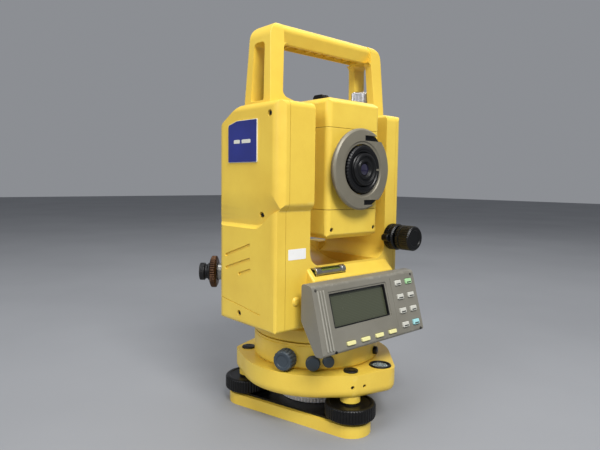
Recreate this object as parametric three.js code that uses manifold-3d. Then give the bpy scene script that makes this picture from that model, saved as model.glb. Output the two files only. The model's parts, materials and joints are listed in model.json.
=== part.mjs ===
// Surveying total station: tribrach, alidade and telescope, with their knobs, keys and inner pieces.
// Millimetres, +Z up. The origin is on the vertical axis at the underside of the base plate.
// +X is to the right of an observer at the eyepiece, and +Y is the way the telescope looks.

import * as THREE from 'three';
import { mergeVertices } from 'three/addons/utils/BufferGeometryUtils.js';
import Module from 'manifold-3d';

const wasm = await Module();
wasm.setup();

// ---------------------------------------------------------------- driving dimensions

const TOTAL_HEIGHT = 336;
const HALF_WIDTH = 86;
const HALF_LENGTH = 82.5;
const AXIS_Z = 218; // height of the tilting axis
const GAP = 0.3; // clearance between touching pieces

// base plate and levelling screws
const FOOT_CIRCLE = 63.4; // radius at which the three foot screws stand
const FOOT_ANGLE = THREE.MathUtils.degToRad(134.3);
const PLATE_LOBE = 17.5;
const PLATE_TOP = 10;
const PLATE_HOLE = 17;
const SOCKET_FLOOR = 5.6; // where the foot screws' ball ends stand
const HUB_RADIUS = 34.5;
const HUB_TOP = 22;
const SPIGOT_RADIUS = 16.6;
const SPRING_LOBE = 14;
const KNOB_BOTTOM = 12.6;
const KNOB_TOP = 24.6;
const TRIPOD_BORE = 7.94; // half of the 5/8 inch tripod thread

// tribrach body and fixed instrument base
const BODY_BOTTOM = 30;
const BODY_TOP = 50;
const BODY_RADIUS = 69;
const BODY_LOBE = 11;
const LEVEL_SPOT = [13.5, -67];
const LEVEL_RADIUS = 9.4;
const LEVEL_TAB = 12.5;
const LEVEL_DEPTH = 5;
const BODY_WELL = 40;
const BOSS_RADIUS = 8.5;
const SCREW_SHAFT = 5;
const SCREW_BORE = 5.4;
const DRUM_RADIUS = 57;
const DRUM_TOP = 71.7;
const DRUM_FLOOR = 58;
const DRUM_BORE = 34;
const SPINDLE_RADIUS = 20;
const SPINDLE_BORE = 10;
const SPINDLE_TOP = 104;
const CIRCLE_RADIUS = 46;

// alidade
const TURNTABLE_TOP = 86;
const TURNTABLE_NECK = 48;
const FRAME_BOTTOM = 88;
const YOKE_TOP = 138;
const COVER_X = 83; // outer face of the left side cover
const CAST_LEFT = 72.6; // seam between the left cover and the casting
const CAST_RIGHT = 60;
const RIGHT_FACE = 70; // outer face of the right side cover
const INNER_X = 46.8;
const BLOCK_BOTTOM = 92; // underside of the blocks in front of and behind the yoke
const CONSOLE_HALF = 50; // half the width of the block behind the display
const LIGHT_WELL = 9; // bore down the axis through the top of the yoke
const REAR_BLOCK = { half: 52, back: 54, top: 147 }; // closes the yoke behind the telescope
const UPPER_FRONT = -45.3;
const LOWER_FRONT = -41;
const LOWER_BACK = 36.5;
const UPPER_BACK = 40;
const STANDARD_TOP = 269;
const WALL = 4; // inner wall of each standard
const COVER_WALL = 3.5;
const LEDGE_HIGH = 189; // where the proud upper block starts to step back
const LEDGE_LOW = 184;
const BACK_STEP = 170; // where the back of the left standard steps out

// carrying handle
const HANDLE_BOTTOM = STANDARD_TOP + GAP;
const HANDLE_FOOT_X = 70.4;
const HANDLE_TOP_X = 67.2;
const HANDLE_LEG = 13.6;
const HANDLE_BAR = 16;
const HANDLE_FOOT_Y = 17.4;
const HANDLE_TOP_Y = 13.2;
const HANDLE_SCREW_X = 54;
const BAR_CORNER = 7;
const BAR_GROOVE = 6; // half the width of the groove under the bar
const POST_SLOT = { foot: 8.6, top: 7, low: 272.6, high: 320 };
const SCREW_SHANK = 4;
const SCREW_HEAD = 7.6;
const SCREW_HEAD_LENGTH = 21;

// telescope, measured from the tilting axis
const SCOPE_X = 32;
const SCOPE_Y = 45;
const SCOPE_SEAM = 33.7;
const SCOPE_COVER = 58.5;
const GRIP_RADIUS = 34.2;
const GRIP_NOTCHES = [[24, 28.6], [-30, -25.6]]; // low and high edge of the two slots across the grip
const LUG_GAP = 17; // half the open width between the grip's two lugs
const FOCUS_RADIUS = 20.3;
const EYEPIECE_RADIUS = 14;
const EYEPIECE_TIP = 58.6;
const BARREL_RADIUS = 27;
const TRUNNION_RADIUS = 14;
const TRUNNION_FLANGE = 18;
const VERTICAL_CIRCLE = 29;
const LIGHT_PATH = 20; // bore through the housing
const LENS_RADIUS = 22.2;
const LENS_BACK = 62;
const GRIP_STAND = 4.6; // how far the grip's face stands off the housing
const GRIP_FACE = 4.9;
const SIGHT_TOP = 67;
const SWING_RADIUS = 88.5; // room for the objective as the telescope transits

// display unit: a face that leans back
const FACE_HALF = 62.8;
const FACE_BOTTOM = [-76.3, 74.2]; // y, z of the lower front edge
const FACE_TOP = [-61, 126.9];
const FACE_BACK = -50;
const WINDOW = [-46, 22, 20, 47.3]; // left, right, low, high on the face
const WINDOW_DEPTH = 5;
const KEY_TRAVEL = 1;
const KEY_PROUD = 1.4;

// optical plummet telescope
const PLUMMET_Z = 123;
const PLUMMET_ANGLE = THREE.MathUtils.degToRad(138.2);
const PLUMMET_RADIUS = 7.5;
const PLUMMET_RING = 14.6;

// smoothness
const ARC_STEPS = 4;
const LARGE_TURN = 40;
const TURN = 24;
const SMALL_TURN = 16;
const BAND_STEPS = 72;
const SWING_STEPS = 96;

// ---------------------------------------------------------------- materials

const paint = (color) => new THREE.MeshStandardMaterial({ color, roughness: 0.45, metalness: 0.05 });
const YELLOW = paint(0xeec83e);
const GREY = new THREE.MeshStandardMaterial({ color: 0x6e706c, roughness: 0.55, metalness: 0.1 });
const RING_GREY = new THREE.MeshStandardMaterial({ color: 0x7d7a73, roughness: 0.5, metalness: 0.3 });
const BLACK = new THREE.MeshStandardMaterial({ color: 0x16171a, roughness: 0.5, metalness: 0.1 });
const SLATE = new THREE.MeshStandardMaterial({ color: 0x3d4650, roughness: 0.5, metalness: 0.2 });
const STEEL = new THREE.MeshStandardMaterial({ color: 0xc9c9c7, roughness: 0.25, metalness: 1 });
const BRONZE = new THREE.MeshStandardMaterial({ color: 0x5b4636, roughness: 0.4, metalness: 0.7 });
const GLASS = new THREE.MeshStandardMaterial({ color: 0x9fb6c4, roughness: 0.05, metalness: 0 });
const LCD = new THREE.MeshStandardMaterial({ color: 0x5a5f4b, roughness: 0.2, metalness: 0 });
const LABEL = new THREE.MeshStandardMaterial({ color: 0x232d7d, roughness: 0.4, metalness: 0 });
const KEY_WHITE = new THREE.MeshStandardMaterial({ color: 0xd9d8cc, roughness: 0.5, metalness: 0 });
const BOARD = new THREE.MeshStandardMaterial({ color: 0x1f6b3a, roughness: 0.6, metalness: 0 });

// ---------------------------------------------------------------- solids and outlines

function toSolid(geometry) {
  const bare = geometry.clone();
  bare.deleteAttribute('normal');
  bare.deleteAttribute('uv');
  const merged = mergeVertices(bare, 1e-4);
  const vertProperties = new Float32Array(merged.attributes.position.array);
  const triVerts = new Uint32Array(merged.index.array);
  return new wasm.Manifold(new wasm.Mesh({ numProp: 3, vertProperties, triVerts }));
}

function toGeometry(solid) {
  const { vertProperties, triVerts } = solid.getMesh();
  const geometry = new THREE.BufferGeometry();
  geometry.setAttribute('position', new THREE.BufferAttribute(vertProperties, 3));
  geometry.setIndex(new THREE.BufferAttribute(triVerts, 1));
  geometry.computeVertexNormals();
  return geometry;
}

function cut(body, ...tools) {
  return toGeometry(tools.reduce((solid, tool) => solid.subtract(toSolid(tool)), toSolid(body)));
}

function join(body, ...others) {
  return toGeometry(others.reduce((solid, other) => solid.add(toSolid(other)), toSolid(body)));
}

// The flat outline's two directions and the way it is extruded, for each axis.
const EXTRUDE_BASIS = {
  x: new THREE.Matrix4().makeBasis(
    new THREE.Vector3(0, 1, 0), new THREE.Vector3(0, 0, 1), new THREE.Vector3(1, 0, 0)),
  y: new THREE.Matrix4().makeBasis(
    new THREE.Vector3(1, 0, 0), new THREE.Vector3(0, 0, 1), new THREE.Vector3(0, -1, 0)),
  z: new THREE.Matrix4(),
};

// Extrudes an outline between two places on an axis. It is drawn in (y, z), (x, z) or (x, y).
function extrude(outline, axis, from, to) {
  const depth = to - from;
  const options = { depth, bevelEnabled: false, curveSegments: ARC_STEPS };
  const geometry = new THREE.ExtrudeGeometry(outline, options);
  geometry.applyMatrix4(EXTRUDE_BASIS[axis]);
  const start = { x: [from, 0, 0], y: [0, to, 0], z: [0, 0, from] }[axis];
  return geometry.translate(...start);
}

function box(x0, x1, y0, y1, z0, z1) {
  const geometry = new THREE.BoxGeometry(x1 - x0, y1 - y0, z1 - z0);
  return geometry.translate((x0 + x1) / 2, (y0 + y1) / 2, (z0 + z1) / 2);
}

// A closed outline through corners [u, v, radius], each rounded by an arc-like curve.
function rounded(corners) {
  const shape = new THREE.Shape();
  corners.forEach(([u, v, radius = 0], i) => {
    const here = new THREE.Vector2(u, v);
    const before = new THREE.Vector2(...corners.at(i - 1));
    const after = new THREE.Vector2(...corners[(i + 1) % corners.length]);
    const start = here.clone().add(before.sub(here).setLength(radius));
    const end = here.clone().add(after.sub(here).setLength(radius));
    if (i === 0) shape.moveTo(start.x, start.y);
    else shape.lineTo(start.x, start.y);
    if (radius > 0) shape.quadraticCurveTo(u, v, end.x, end.y);
  });
  shape.closePath();
  return shape;
}

function rectangle(u0, u1, v0, v1, radius) {
  return rounded([[u0, v0, radius], [u1, v0, radius], [u1, v1, radius], [u0, v1, radius]]);
}

// Turns a profile of [radius, height] points, listed counter-clockwise, about the Z axis.
function turned(profile, segments = TURN) {
  const closed = profile[0][0] > 0 || profile.at(-1)[0] > 0;
  const points = (closed ? [...profile, profile[0]] : profile).map(([r, h]) => new THREE.Vector2(r, h));
  return new THREE.LatheGeometry(points, segments).rotateX(Math.PI / 2);
}

function disc(radius, z0, z1, segments = TURN) {
  return turned([[0, z0], [radius, z0], [radius, z1], [0, z1]], segments);
}

function ring(outer, inner, z0, z1, segments = TURN) {
  return turned([[inner, z0], [outer, z0], [outer, z1], [inner, z1]], segments);
}

// Stands a solid that was turned about Z along +X, -X, +Y or -Y.
const alongX = (geometry) => geometry.rotateY(Math.PI / 2);
const alongMinusX = (geometry) => geometry.rotateY(-Math.PI / 2);
const alongY = (geometry) => geometry.rotateX(-Math.PI / 2);
const alongMinusY = (geometry) => geometry.rotateX(Math.PI / 2);

// Stands a solid that was turned about Z level, pointing out from the vertical axis.
const outward = (geometry, angle) => alongX(geometry).rotateZ(angle);

function piece(name, geometry, material) {
  const mesh = new THREE.Mesh(geometry, material);
  mesh.name = name;
  return mesh;
}

function group(pieces, x = 0, y = 0, z = 0) {
  const parent = new THREE.Group();
  parent.position.set(x, y, z);
  parent.add(...pieces);
  return parent;
}

const footSpot = (i, radius = FOOT_CIRCLE) => {
  const angle = FOOT_ANGLE + (i * 2 * Math.PI) / 3;
  return [radius * Math.cos(angle), radius * Math.sin(angle)];
};

const FEET = [0, 1, 2].map((i) => footSpot(i));

// The front foot screw's knob is the foremost point of the instrument.
const KNOB_RADIUS = HALF_LENGTH + Math.min(...FEET.map(([, y]) => y));

// ---------------------------------------------------------------- tribrach

// A triangle of three equal lobes joined by straight sides.
function lobedTriangle(lobe) {
  const shape = new THREE.Shape();
  FEET.forEach(([x, y], i) => {
    const out = FOOT_ANGLE + (i * 2 * Math.PI) / 3;
    shape.absarc(x, y, lobe, out - Math.PI / 3, out + Math.PI / 3);
  });
  shape.closePath();
  return shape;
}

const atFeet = (make) => FEET.map(([x, y]) => make().translate(x, y, 0));

function basePlate() {
  const blank = extrude(lobedTriangle(PLATE_LOBE), 'z', 0, PLATE_TOP);
  const hole = disc(PLATE_HOLE, -1, PLATE_TOP + 1);
  const sockets = atFeet(() => disc(SCREW_BORE, SOCKET_FLOOR, PLATE_TOP + 1, SMALL_TURN));
  return piece('base_plate', cut(blank, hole, ...sockets), YELLOW);
}

// The hub's spigot drops into the base plate, and its bore takes the tripod screw.
function tripodHub() {
  const step = PLATE_TOP + 2.3;
  const profile = [
    [TRIPOD_BORE, 2], [SPIGOT_RADIUS, 2], [SPIGOT_RADIUS, step], [HUB_RADIUS, step],
    [HUB_RADIUS, HUB_TOP - 1], [HUB_RADIUS - 1, HUB_TOP], [TRIPOD_BORE, HUB_TOP],
  ];
  return piece('tripod_hub', turned(profile, LARGE_TURN), STEEL);
}

function springPlate() {
  const blank = extrude(lobedTriangle(SPRING_LOBE), 'z', PLATE_TOP + GAP, PLATE_TOP + 2);
  const hole = disc(PLATE_HOLE, PLATE_TOP, PLATE_TOP + 3);
  const sockets = atFeet(() => disc(SCREW_BORE, PLATE_TOP, PLATE_TOP + 3, SMALL_TURN));
  return piece('spring_plate', cut(blank, hole, ...sockets), BLACK);
}

// A foot screw: ball foot, knob and the screwed shaft that carries the tribrach body.
function footScrew(i) {
  const profile = [
    [0, SOCKET_FLOOR + 0.4], [2.5, SOCKET_FLOOR + 0.8], [4.6, SOCKET_FLOOR + 2.4], [4.6, KNOB_BOTTOM],
    [KNOB_RADIUS - 1.5, KNOB_BOTTOM], [KNOB_RADIUS, KNOB_BOTTOM + 1.5], [KNOB_RADIUS, KNOB_TOP - 1.5],
    [KNOB_RADIUS - 1.5, KNOB_TOP], [SCREW_SHAFT, KNOB_TOP], [SCREW_SHAFT, BODY_TOP - 2], [0, BODY_TOP - 2],
  ];
  const mesh = piece(`foot_screw_${i + 1}`, turned(profile), BLACK);
  mesh.position.set(...FEET[i], 0);
  return mesh;
}

// The outline that a band pulled tight round circles [x, y, radius] takes.
function bandRound(circles) {
  const points = Array.from({ length: BAND_STEPS }, (_, i) => {
    const angle = (i * 2 * Math.PI) / BAND_STEPS;
    const reach = ([x, y, radius]) => x * Math.cos(angle) + y * Math.sin(angle) + radius;
    const [x, y, radius] = circles.reduce((best, next) => (reach(next) > reach(best) ? next : best));
    return new THREE.Vector2(x + radius * Math.cos(angle), y + radius * Math.sin(angle));
  });
  return new THREE.Shape(points);
}

function tribrachBody() {
  const lobes = FEET.map(([x, y]) => [x, y, BODY_LOBE]);
  const plan = bandRound([[0, 0, BODY_RADIUS], ...lobes, [...LEVEL_SPOT, LEVEL_TAB]]);
  const blank = extrude(plan, 'z', BODY_BOTTOM, BODY_TOP);
  const bosses = atFeet(() => disc(BOSS_RADIUS, KNOB_TOP + 0.7, BODY_BOTTOM + 1, SMALL_TURN));
  const bores = atFeet(() => disc(SCREW_BORE, KNOB_TOP, BODY_TOP + 1, SMALL_TURN));
  const recess = disc(LEVEL_RADIUS + GAP, BODY_TOP - LEVEL_DEPTH, BODY_TOP + 1).translate(...LEVEL_SPOT, 0);
  const well = disc(BODY_WELL, BODY_BOTTOM - 1, BODY_TOP + 1, LARGE_TURN);
  return piece('tribrach_body', cut(join(blank, ...bosses), well, recess, ...bores), YELLOW);
}

function circularLevel() {
  const low = BODY_TOP - LEVEL_DEPTH + GAP;
  const high = BODY_TOP + 1;
  const wall = LEVEL_RADIUS - 1.8;
  const cup = [
    [0, low], [LEVEL_RADIUS, low], [LEVEL_RADIUS, high], [wall, high], [wall, low + 1.2], [0, low + 1.2],
  ];
  const vial = disc(wall - GAP, low + 1.5, high - 0.5);
  const pieces = [
    piece('circular_level_housing', turned(cup), BLACK),
    piece('circular_level_vial', vial, GLASS),
  ];
  return group(pieces, ...LEVEL_SPOT, 0);
}

// The fixed part of the instrument that the tribrach clamps: a drum open at both ends.
function baseDrum() {
  const profile = [
    [DRUM_BORE, BODY_TOP + GAP], [DRUM_RADIUS - 1.5, BODY_TOP + GAP], [DRUM_RADIUS, BODY_TOP + 2],
    [DRUM_RADIUS, DRUM_TOP], [DRUM_RADIUS - 5, DRUM_TOP], [DRUM_RADIUS - 5, DRUM_FLOOR],
    [DRUM_BORE, DRUM_FLOOR],
  ];
  return piece('base_drum', turned(profile, LARGE_TURN), YELLOW);
}

const LOCK_ANGLE = THREE.MathUtils.degToRad(203);
const LOCK_Z = 59.6;
const LOCK_RADIUS = 8.8;

// The knob that clamps the instrument into the tribrach.
function lockKnob() {
  const start = DRUM_RADIUS + 0.7;
  const collar = start + 1.5;
  const end = start + 11.5;
  const profile = [
    [0, start], [5, start], [5, collar], [LOCK_RADIUS, collar], [LOCK_RADIUS, end - 1.5],
    [LOCK_RADIUS - 1.3, end], [0, end],
  ];
  const mesh = piece('tribrach_lock_knob', outward(turned(profile, SMALL_TURN), LOCK_ANGLE), SLATE);
  mesh.position.z = LOCK_Z;
  return mesh;
}

const PORTS = [
  { name: 'serial_port_cap', angle: THREE.MathUtils.degToRad(224.5), radius: 6.2, z: 57 },
  { name: 'power_port_cap', angle: THREE.MathUtils.degToRad(237), radius: 4.9, z: 58.5 },
];

function portCap({ name, angle, radius, z }) {
  const start = DRUM_RADIUS + 0.7;
  const profile = [
    [0, start], [radius, start], [radius, start + 4.4], [radius - 1, start + 5.4], [0, start + 5.4],
  ];
  const mesh = piece(name, outward(turned(profile, SMALL_TURN), angle), SLATE);
  mesh.position.z = z;
  return mesh;
}

// The fixed hollow spindle that the alidade turns on, with the horizontal circle round its head.
function verticalAxis() {
  const low = DRUM_FLOOR + GAP;
  const flange = low + 2.7;
  const profile = [
    [SPINDLE_BORE, low], [33, low], [33, flange], [SPINDLE_RADIUS, flange], [SPINDLE_RADIUS, SPINDLE_TOP],
    [SPINDLE_BORE, SPINDLE_TOP],
  ];
  return piece('vertical_axis_spindle', turned(profile), STEEL);
}

function horizontalCircle() {
  return piece('horizontal_circle', ring(CIRCLE_RADIUS, SPINDLE_RADIUS + GAP, 75, 77.5, LARGE_TURN), GLASS);
}

// ---------------------------------------------------------------- alidade casting and covers

// Side view of the left standard, in (y, z).
function leftStandardOutline() {
  const front = UPPER_FRONT;
  const lower = LOWER_FRONT;
  const top = STANDARD_TOP;
  const back = LOWER_BACK;
  return rounded([
    [lower, FRAME_BOTTOM, 2], [back, FRAME_BOTTOM, 4], [back, BACK_STEP, 3],
    [UPPER_BACK, BACK_STEP + 6, 3], [UPPER_BACK, 251, 6], [8, top, 6],
    [front, top, 4], [front, LEDGE_HIGH, 3], [lower, LEDGE_LOW, 3],
  ]);
}

// Side view of the right standard, in (y, z).
function rightStandardOutline() {
  return rounded([
    [LOWER_FRONT, FRAME_BOTTOM, 2], [LOWER_BACK, FRAME_BOTTOM, 4],
    [LOWER_BACK, 254, 8], [18, STANDARD_TOP, 8], [LOWER_FRONT, STANDARD_TOP, 5],
  ]);
}

// The room inside a standard and its cover, between two places across the instrument.
function pocket(from, to) {
  return box(from, to, LOWER_FRONT + 7, LOWER_BACK - 5.5, FRAME_BOTTOM + 18, STANDARD_TOP - 20);
}

// One casting: the turntable, the yoke block and the two uprights, hollow on their outer sides.
function alidadeFrame() {
  const turntable = turned([
    [0, DRUM_TOP + 0.6], [DRUM_RADIUS, DRUM_TOP + 0.6], [DRUM_RADIUS, TURNTABLE_TOP],
    [TURNTABLE_NECK, TURNTABLE_TOP], [TURNTABLE_NECK, FRAME_BOTTOM + 1], [0, FRAME_BOTTOM + 1],
  ], LARGE_TURN);
  const yoke = box(-CAST_LEFT, CAST_RIGHT, LOWER_FRONT, LOWER_BACK, FRAME_BOTTOM, YOKE_TOP);
  const left = extrude(leftStandardOutline(), 'x', -CAST_LEFT, -INNER_X);
  const right = extrude(rightStandardOutline(), 'x', INNER_X, CAST_RIGHT);
  const shelf = FACE_BACK + GAP;
  const consoleBlock = extrude(rounded([
    [shelf, BLOCK_BOTTOM], [LOWER_FRONT + 1, BLOCK_BOTTOM], [LOWER_FRONT + 1, YOKE_TOP - 1],
    [shelf, FACE_TOP[1] + 1],
  ]), 'x', -CONSOLE_HALF, CONSOLE_HALF);
  const { half, back, top } = REAR_BLOCK;
  const rearBlock = box(-half, half, LOWER_BACK - 1, back, BLOCK_BOTTOM, top);
  const leftPocket = pocket(-CAST_LEFT - 1, -INNER_X - WALL);
  const rightPocket = pocket(INNER_X + WALL, CAST_RIGHT + 1);
  const axleBore = alongX(disc(TRUNNION_RADIUS + 0.4, -CAST_LEFT, CAST_LEFT));
  axleBore.translate(0, 0, AXIS_Z);
  const spindleBore = disc(SPINDLE_RADIUS + 0.4, DRUM_TOP, SPINDLE_TOP + 2);
  const lightWell = disc(LIGHT_WELL, SPINDLE_TOP, YOKE_TOP + 1, SMALL_TURN);
  const circleRoom = disc(CIRCLE_RADIUS + 5, DRUM_TOP, TURNTABLE_TOP - 2, LARGE_TURN);
  const swing = alongX(disc(SWING_RADIUS, -SCOPE_X - 4, SCOPE_X + 4, SWING_STEPS));
  swing.translate(0, 0, AXIS_Z);
  const whole = join(yoke, turntable, left, right, consoleBlock, rearBlock);
  const hollow = cut(whole, leftPocket, rightPocket, axleBore, spindleBore, lightWell, circleRoom, swing);
  const forVial = alongX(disc(VIAL_RADIUS + 1.2, VIAL_FROM - 1, VIAL_TO + 1)).translate(0, VIAL_Y, VIAL_Z);
  const forPlummet = outward(disc(PLUMMET_RADIUS + GAP, 12, 90), PLUMMET_ANGLE).translate(0, 0, PLUMMET_Z);
  return piece('alidade_frame', cut(hollow, forVial, forPlummet), YELLOW);
}

const COVER_CORNER = 9;
const COVER_TOP_CORNER = 6;

// Seen from above, a side cover has round outer corners at the front and the back.
function coverPlan(outer, seam, front, back) {
  const side = Math.sign(outer);
  const inner = seam - side;
  const corners = [
    [inner, front], [outer, front, COVER_CORNER], [outer, back, COVER_CORNER], [inner, back],
  ];
  return rounded(side > 0 ? corners : corners.reverse());
}

// Seen from the front, it has a round outer corner at the top.
function coverFront(outer, seam) {
  const side = Math.sign(outer);
  const inner = seam - side;
  const low = FRAME_BOTTOM - 1;
  const high = STANDARD_TOP + 1;
  const corners = [[inner, low], [outer, low], [outer, high, COVER_TOP_CORNER], [inner, high]];
  return rounded(side > 0 ? corners : corners.reverse());
}

// A side cover's outer form: one outline from the side, cut by one from above and one from the front.
function coverForm(outline, outer, seam, front, back) {
  const profile = toSolid(extrude(outline, 'x', Math.min(outer, seam), Math.max(outer, seam)));
  const above = coverPlan(outer, seam, front, back);
  const plan = toSolid(extrude(above, 'z', FRAME_BOTTOM - 1, STANDARD_TOP + 1));
  const face = toSolid(extrude(coverFront(outer, seam), 'y', front - 1, back + 1));
  return toGeometry(profile.intersect(plan).intersect(face));
}

function leftSideCover() {
  const seam = -CAST_LEFT - GAP;
  const shell = coverForm(leftStandardOutline(), -COVER_X, seam, UPPER_FRONT, UPPER_BACK);
  const cavity = pocket(-COVER_X + COVER_WALL, seam + 1);
  const forPlummet = outward(disc(PLUMMET_RADIUS + GAP, 60, 96), PLUMMET_ANGLE).translate(0, 0, PLUMMET_Z);
  return piece('left_side_cover', cut(shell, cavity, forPlummet), YELLOW);
}

const LABEL_PLATE = { front: -18, back: 21.5, low: 222, high: 256, corner: 12.5 };

// The plate on the left cover, with one slanted upper corner.
function namePlate() {
  const { front, back, low, high, corner } = LABEL_PLATE;
  const outline = rounded([
    [front, low, 1], [back, low, 1], [back, high - 3, 3], [back - corner, high, 3], [front, high, 1],
  ]);
  return piece('name_plate', extrude(outline, 'x', -COVER_X - 1.1, -COVER_X - GAP), LABEL);
}

function rightSideCover() {
  const seam = CAST_RIGHT + GAP;
  const shell = coverForm(rightStandardOutline(), RIGHT_FACE, seam, LOWER_FRONT, LOWER_BACK);
  const cavity = pocket(seam - 1, RIGHT_FACE - COVER_WALL);
  return piece('right_side_cover', cut(shell, cavity), YELLOW);
}

const BATTERY = { front: -20, back: 34, low: 140, high: 252 };
const LATCH_WIDTH = 16;

function battery() {
  const { front, back, low, high } = BATTERY;
  const body = extrude(rectangle(front, back, low, high, 6), 'x', RIGHT_FACE + GAP, HALF_WIDTH);
  const latchRoom = box(HALF_WIDTH - 5, HALF_WIDTH + 1, 0, LATCH_WIDTH, high - LATCH_WIDTH, high + 1);
  return piece('battery', cut(body, latchRoom), YELLOW);
}

// The latch slides down to free the battery.
function batteryLatch() {
  const { high } = BATTERY;
  const latch = box(HALF_WIDTH - 4.7, HALF_WIDTH - 1, 0.4, LATCH_WIDTH - 0.4, high - 11, high - 1);
  return piece('battery_latch', latch, BLACK);
}

function mainBoard() {
  return piece('main_circuit_board', box(-COVER_X + 5, -COVER_X + 6.6, -30, 22, 132, 176), BOARD);
}

// ---------------------------------------------------------------- plate level

const VIAL_Y = -44;
const VIAL_Z = 134;
const VIAL_RADIUS = 3;
const VIAL_FROM = -45;
const VIAL_TO = -11;

function plateLevel() {
  const length = VIAL_TO - VIAL_FROM;
  const tube = ring(VIAL_RADIUS + 0.8, VIAL_RADIUS - 1, 0, length, SMALL_TURN);
  const window = box(-10, 0, -2, 2, 5, length - 5).rotateZ(-Math.PI / 4);
  const housing = alongX(cut(tube, window)).translate(VIAL_FROM, 0, 0);
  const vial = alongX(disc(VIAL_RADIUS - 1 - GAP, 1, length - 1, SMALL_TURN)).translate(VIAL_FROM, 0, 0);
  return group([
    piece('plate_level_housing', housing, STEEL),
    piece('plate_level_vial', vial, GLASS),
  ], 0, VIAL_Y, VIAL_Z);
}

// ---------------------------------------------------------------- handle

// Front view of the handle, in (x, z): two posts that lean in a little, and the bar.
function handleFront() {
  const outerFoot = HANDLE_FOOT_X;
  const outerTop = HANDLE_TOP_X;
  const innerFoot = HANDLE_FOOT_X - HANDLE_LEG;
  const innerTop = HANDLE_TOP_X - HANDLE_LEG;
  const footTop = HANDLE_BOTTOM + 4.5;
  const toe = innerFoot - 12;
  const barLow = TOTAL_HEIGHT - HANDLE_BAR;
  const half = [
    [toe, HANDLE_BOTTOM, 0], [outerFoot, HANDLE_BOTTOM, 0], [outerTop, TOTAL_HEIGHT, 12],
  ];
  const inside = [[innerTop, barLow, 3], [innerFoot, footTop + 3, 4], [toe, footTop, 1]];
  const mirror = ([x, z, r]) => [-x, z, r];
  return rounded([
    ...half, ...half.map(mirror).reverse(), ...inside.map(mirror).reverse(), ...inside,
  ]);
}

// Side view of the handle, in (y, z): it narrows to the top.
function handleSide() {
  const foot = HANDLE_FOOT_Y;
  const top = HANDLE_TOP_Y;
  return rounded([
    [-foot, HANDLE_BOTTOM, 0], [foot, HANDLE_BOTTOM, 0], [top, TOTAL_HEIGHT, 4], [-top, TOTAL_HEIGHT, 4],
  ]);
}

// Side view of the bar alone, which is barrel-shaped where the posts are flat.
function barSurround() {
  const low = TOTAL_HEIGHT - HANDLE_BAR;
  const reach = HANDLE_TOP_X - HANDLE_LEG;
  const round = rectangle(-HANDLE_TOP_Y, HANDLE_TOP_Y, low, TOTAL_HEIGHT, BAR_CORNER);
  const surround = box(-reach, reach, -HANDLE_FOOT_Y, HANDLE_FOOT_Y, low, TOTAL_HEIGHT + 1);
  return cut(surround, extrude(round, 'x', -reach - 1, reach + 1));
}

// The opening through a post that the handle screw stands in, in (y, z).
function postSlot(from, to) {
  const { foot, top, low, high } = POST_SLOT;
  const outline = rounded([[-foot, low, 1.5], [foot, low, 1.5], [top, high, 4], [-top, high, 4]]);
  return extrude(outline, 'x', from, to);
}

function handle() {
  const front = extrude(handleFront(), 'y', -HANDLE_FOOT_Y - 1, HANDLE_FOOT_Y + 1);
  const side = extrude(handleSide(), 'x', -HANDLE_FOOT_X - 1, HANDLE_FOOT_X + 1);
  const blank = toGeometry(toSolid(front).intersect(toSolid(side)));
  const inner = HANDLE_SCREW_X - 9;
  const groove = box(-inner, inner, -BAR_GROOVE, BAR_GROOVE, POST_SLOT.low, TOTAL_HEIGHT - 9);
  const slots = [postSlot(inner, HANDLE_FOOT_X + 1), postSlot(-HANDLE_FOOT_X - 1, -inner)];
  const screwHoles = [-1, 1].map((side) => {
    const hole = disc(SCREW_SHANK + 0.4, HANDLE_BOTTOM - 1, POST_SLOT.low + 1, SMALL_TURN);
    return hole.translate(side * HANDLE_SCREW_X, 0, 0);
  });
  return piece('carrying_handle', cut(blank, barSurround(), groove, ...slots, ...screwHoles), YELLOW);
}

function handleScrew(name, side) {
  const low = HANDLE_BOTTOM + 0.2;
  const seat = POST_SLOT.low + GAP;
  const high = seat + SCREW_HEAD_LENGTH;
  const profile = [
    [0, low], [SCREW_SHANK, low], [SCREW_SHANK, seat], [SCREW_HEAD, seat], [SCREW_HEAD, high - 1],
    [SCREW_HEAD - 1, high], [0, high],
  ];
  const mesh = piece(name, turned(profile, SMALL_TURN), STEEL);
  mesh.position.x = side * HANDLE_SCREW_X;
  return mesh;
}

// ---------------------------------------------------------------- telescope, about the tilting axis

function telescopeHousing() {
  const blank = extrude(rectangle(-SCOPE_X, SCOPE_X, -SCOPE_Y, SCOPE_Y, 4), 'z', -SCOPE_SEAM, SCOPE_SEAM);
  const lightPath = alongY(disc(LIGHT_PATH, -SCOPE_Y - 1, SCOPE_Y + 1));
  return piece('telescope_housing', cut(blank, lightPath), YELLOW);
}

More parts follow.
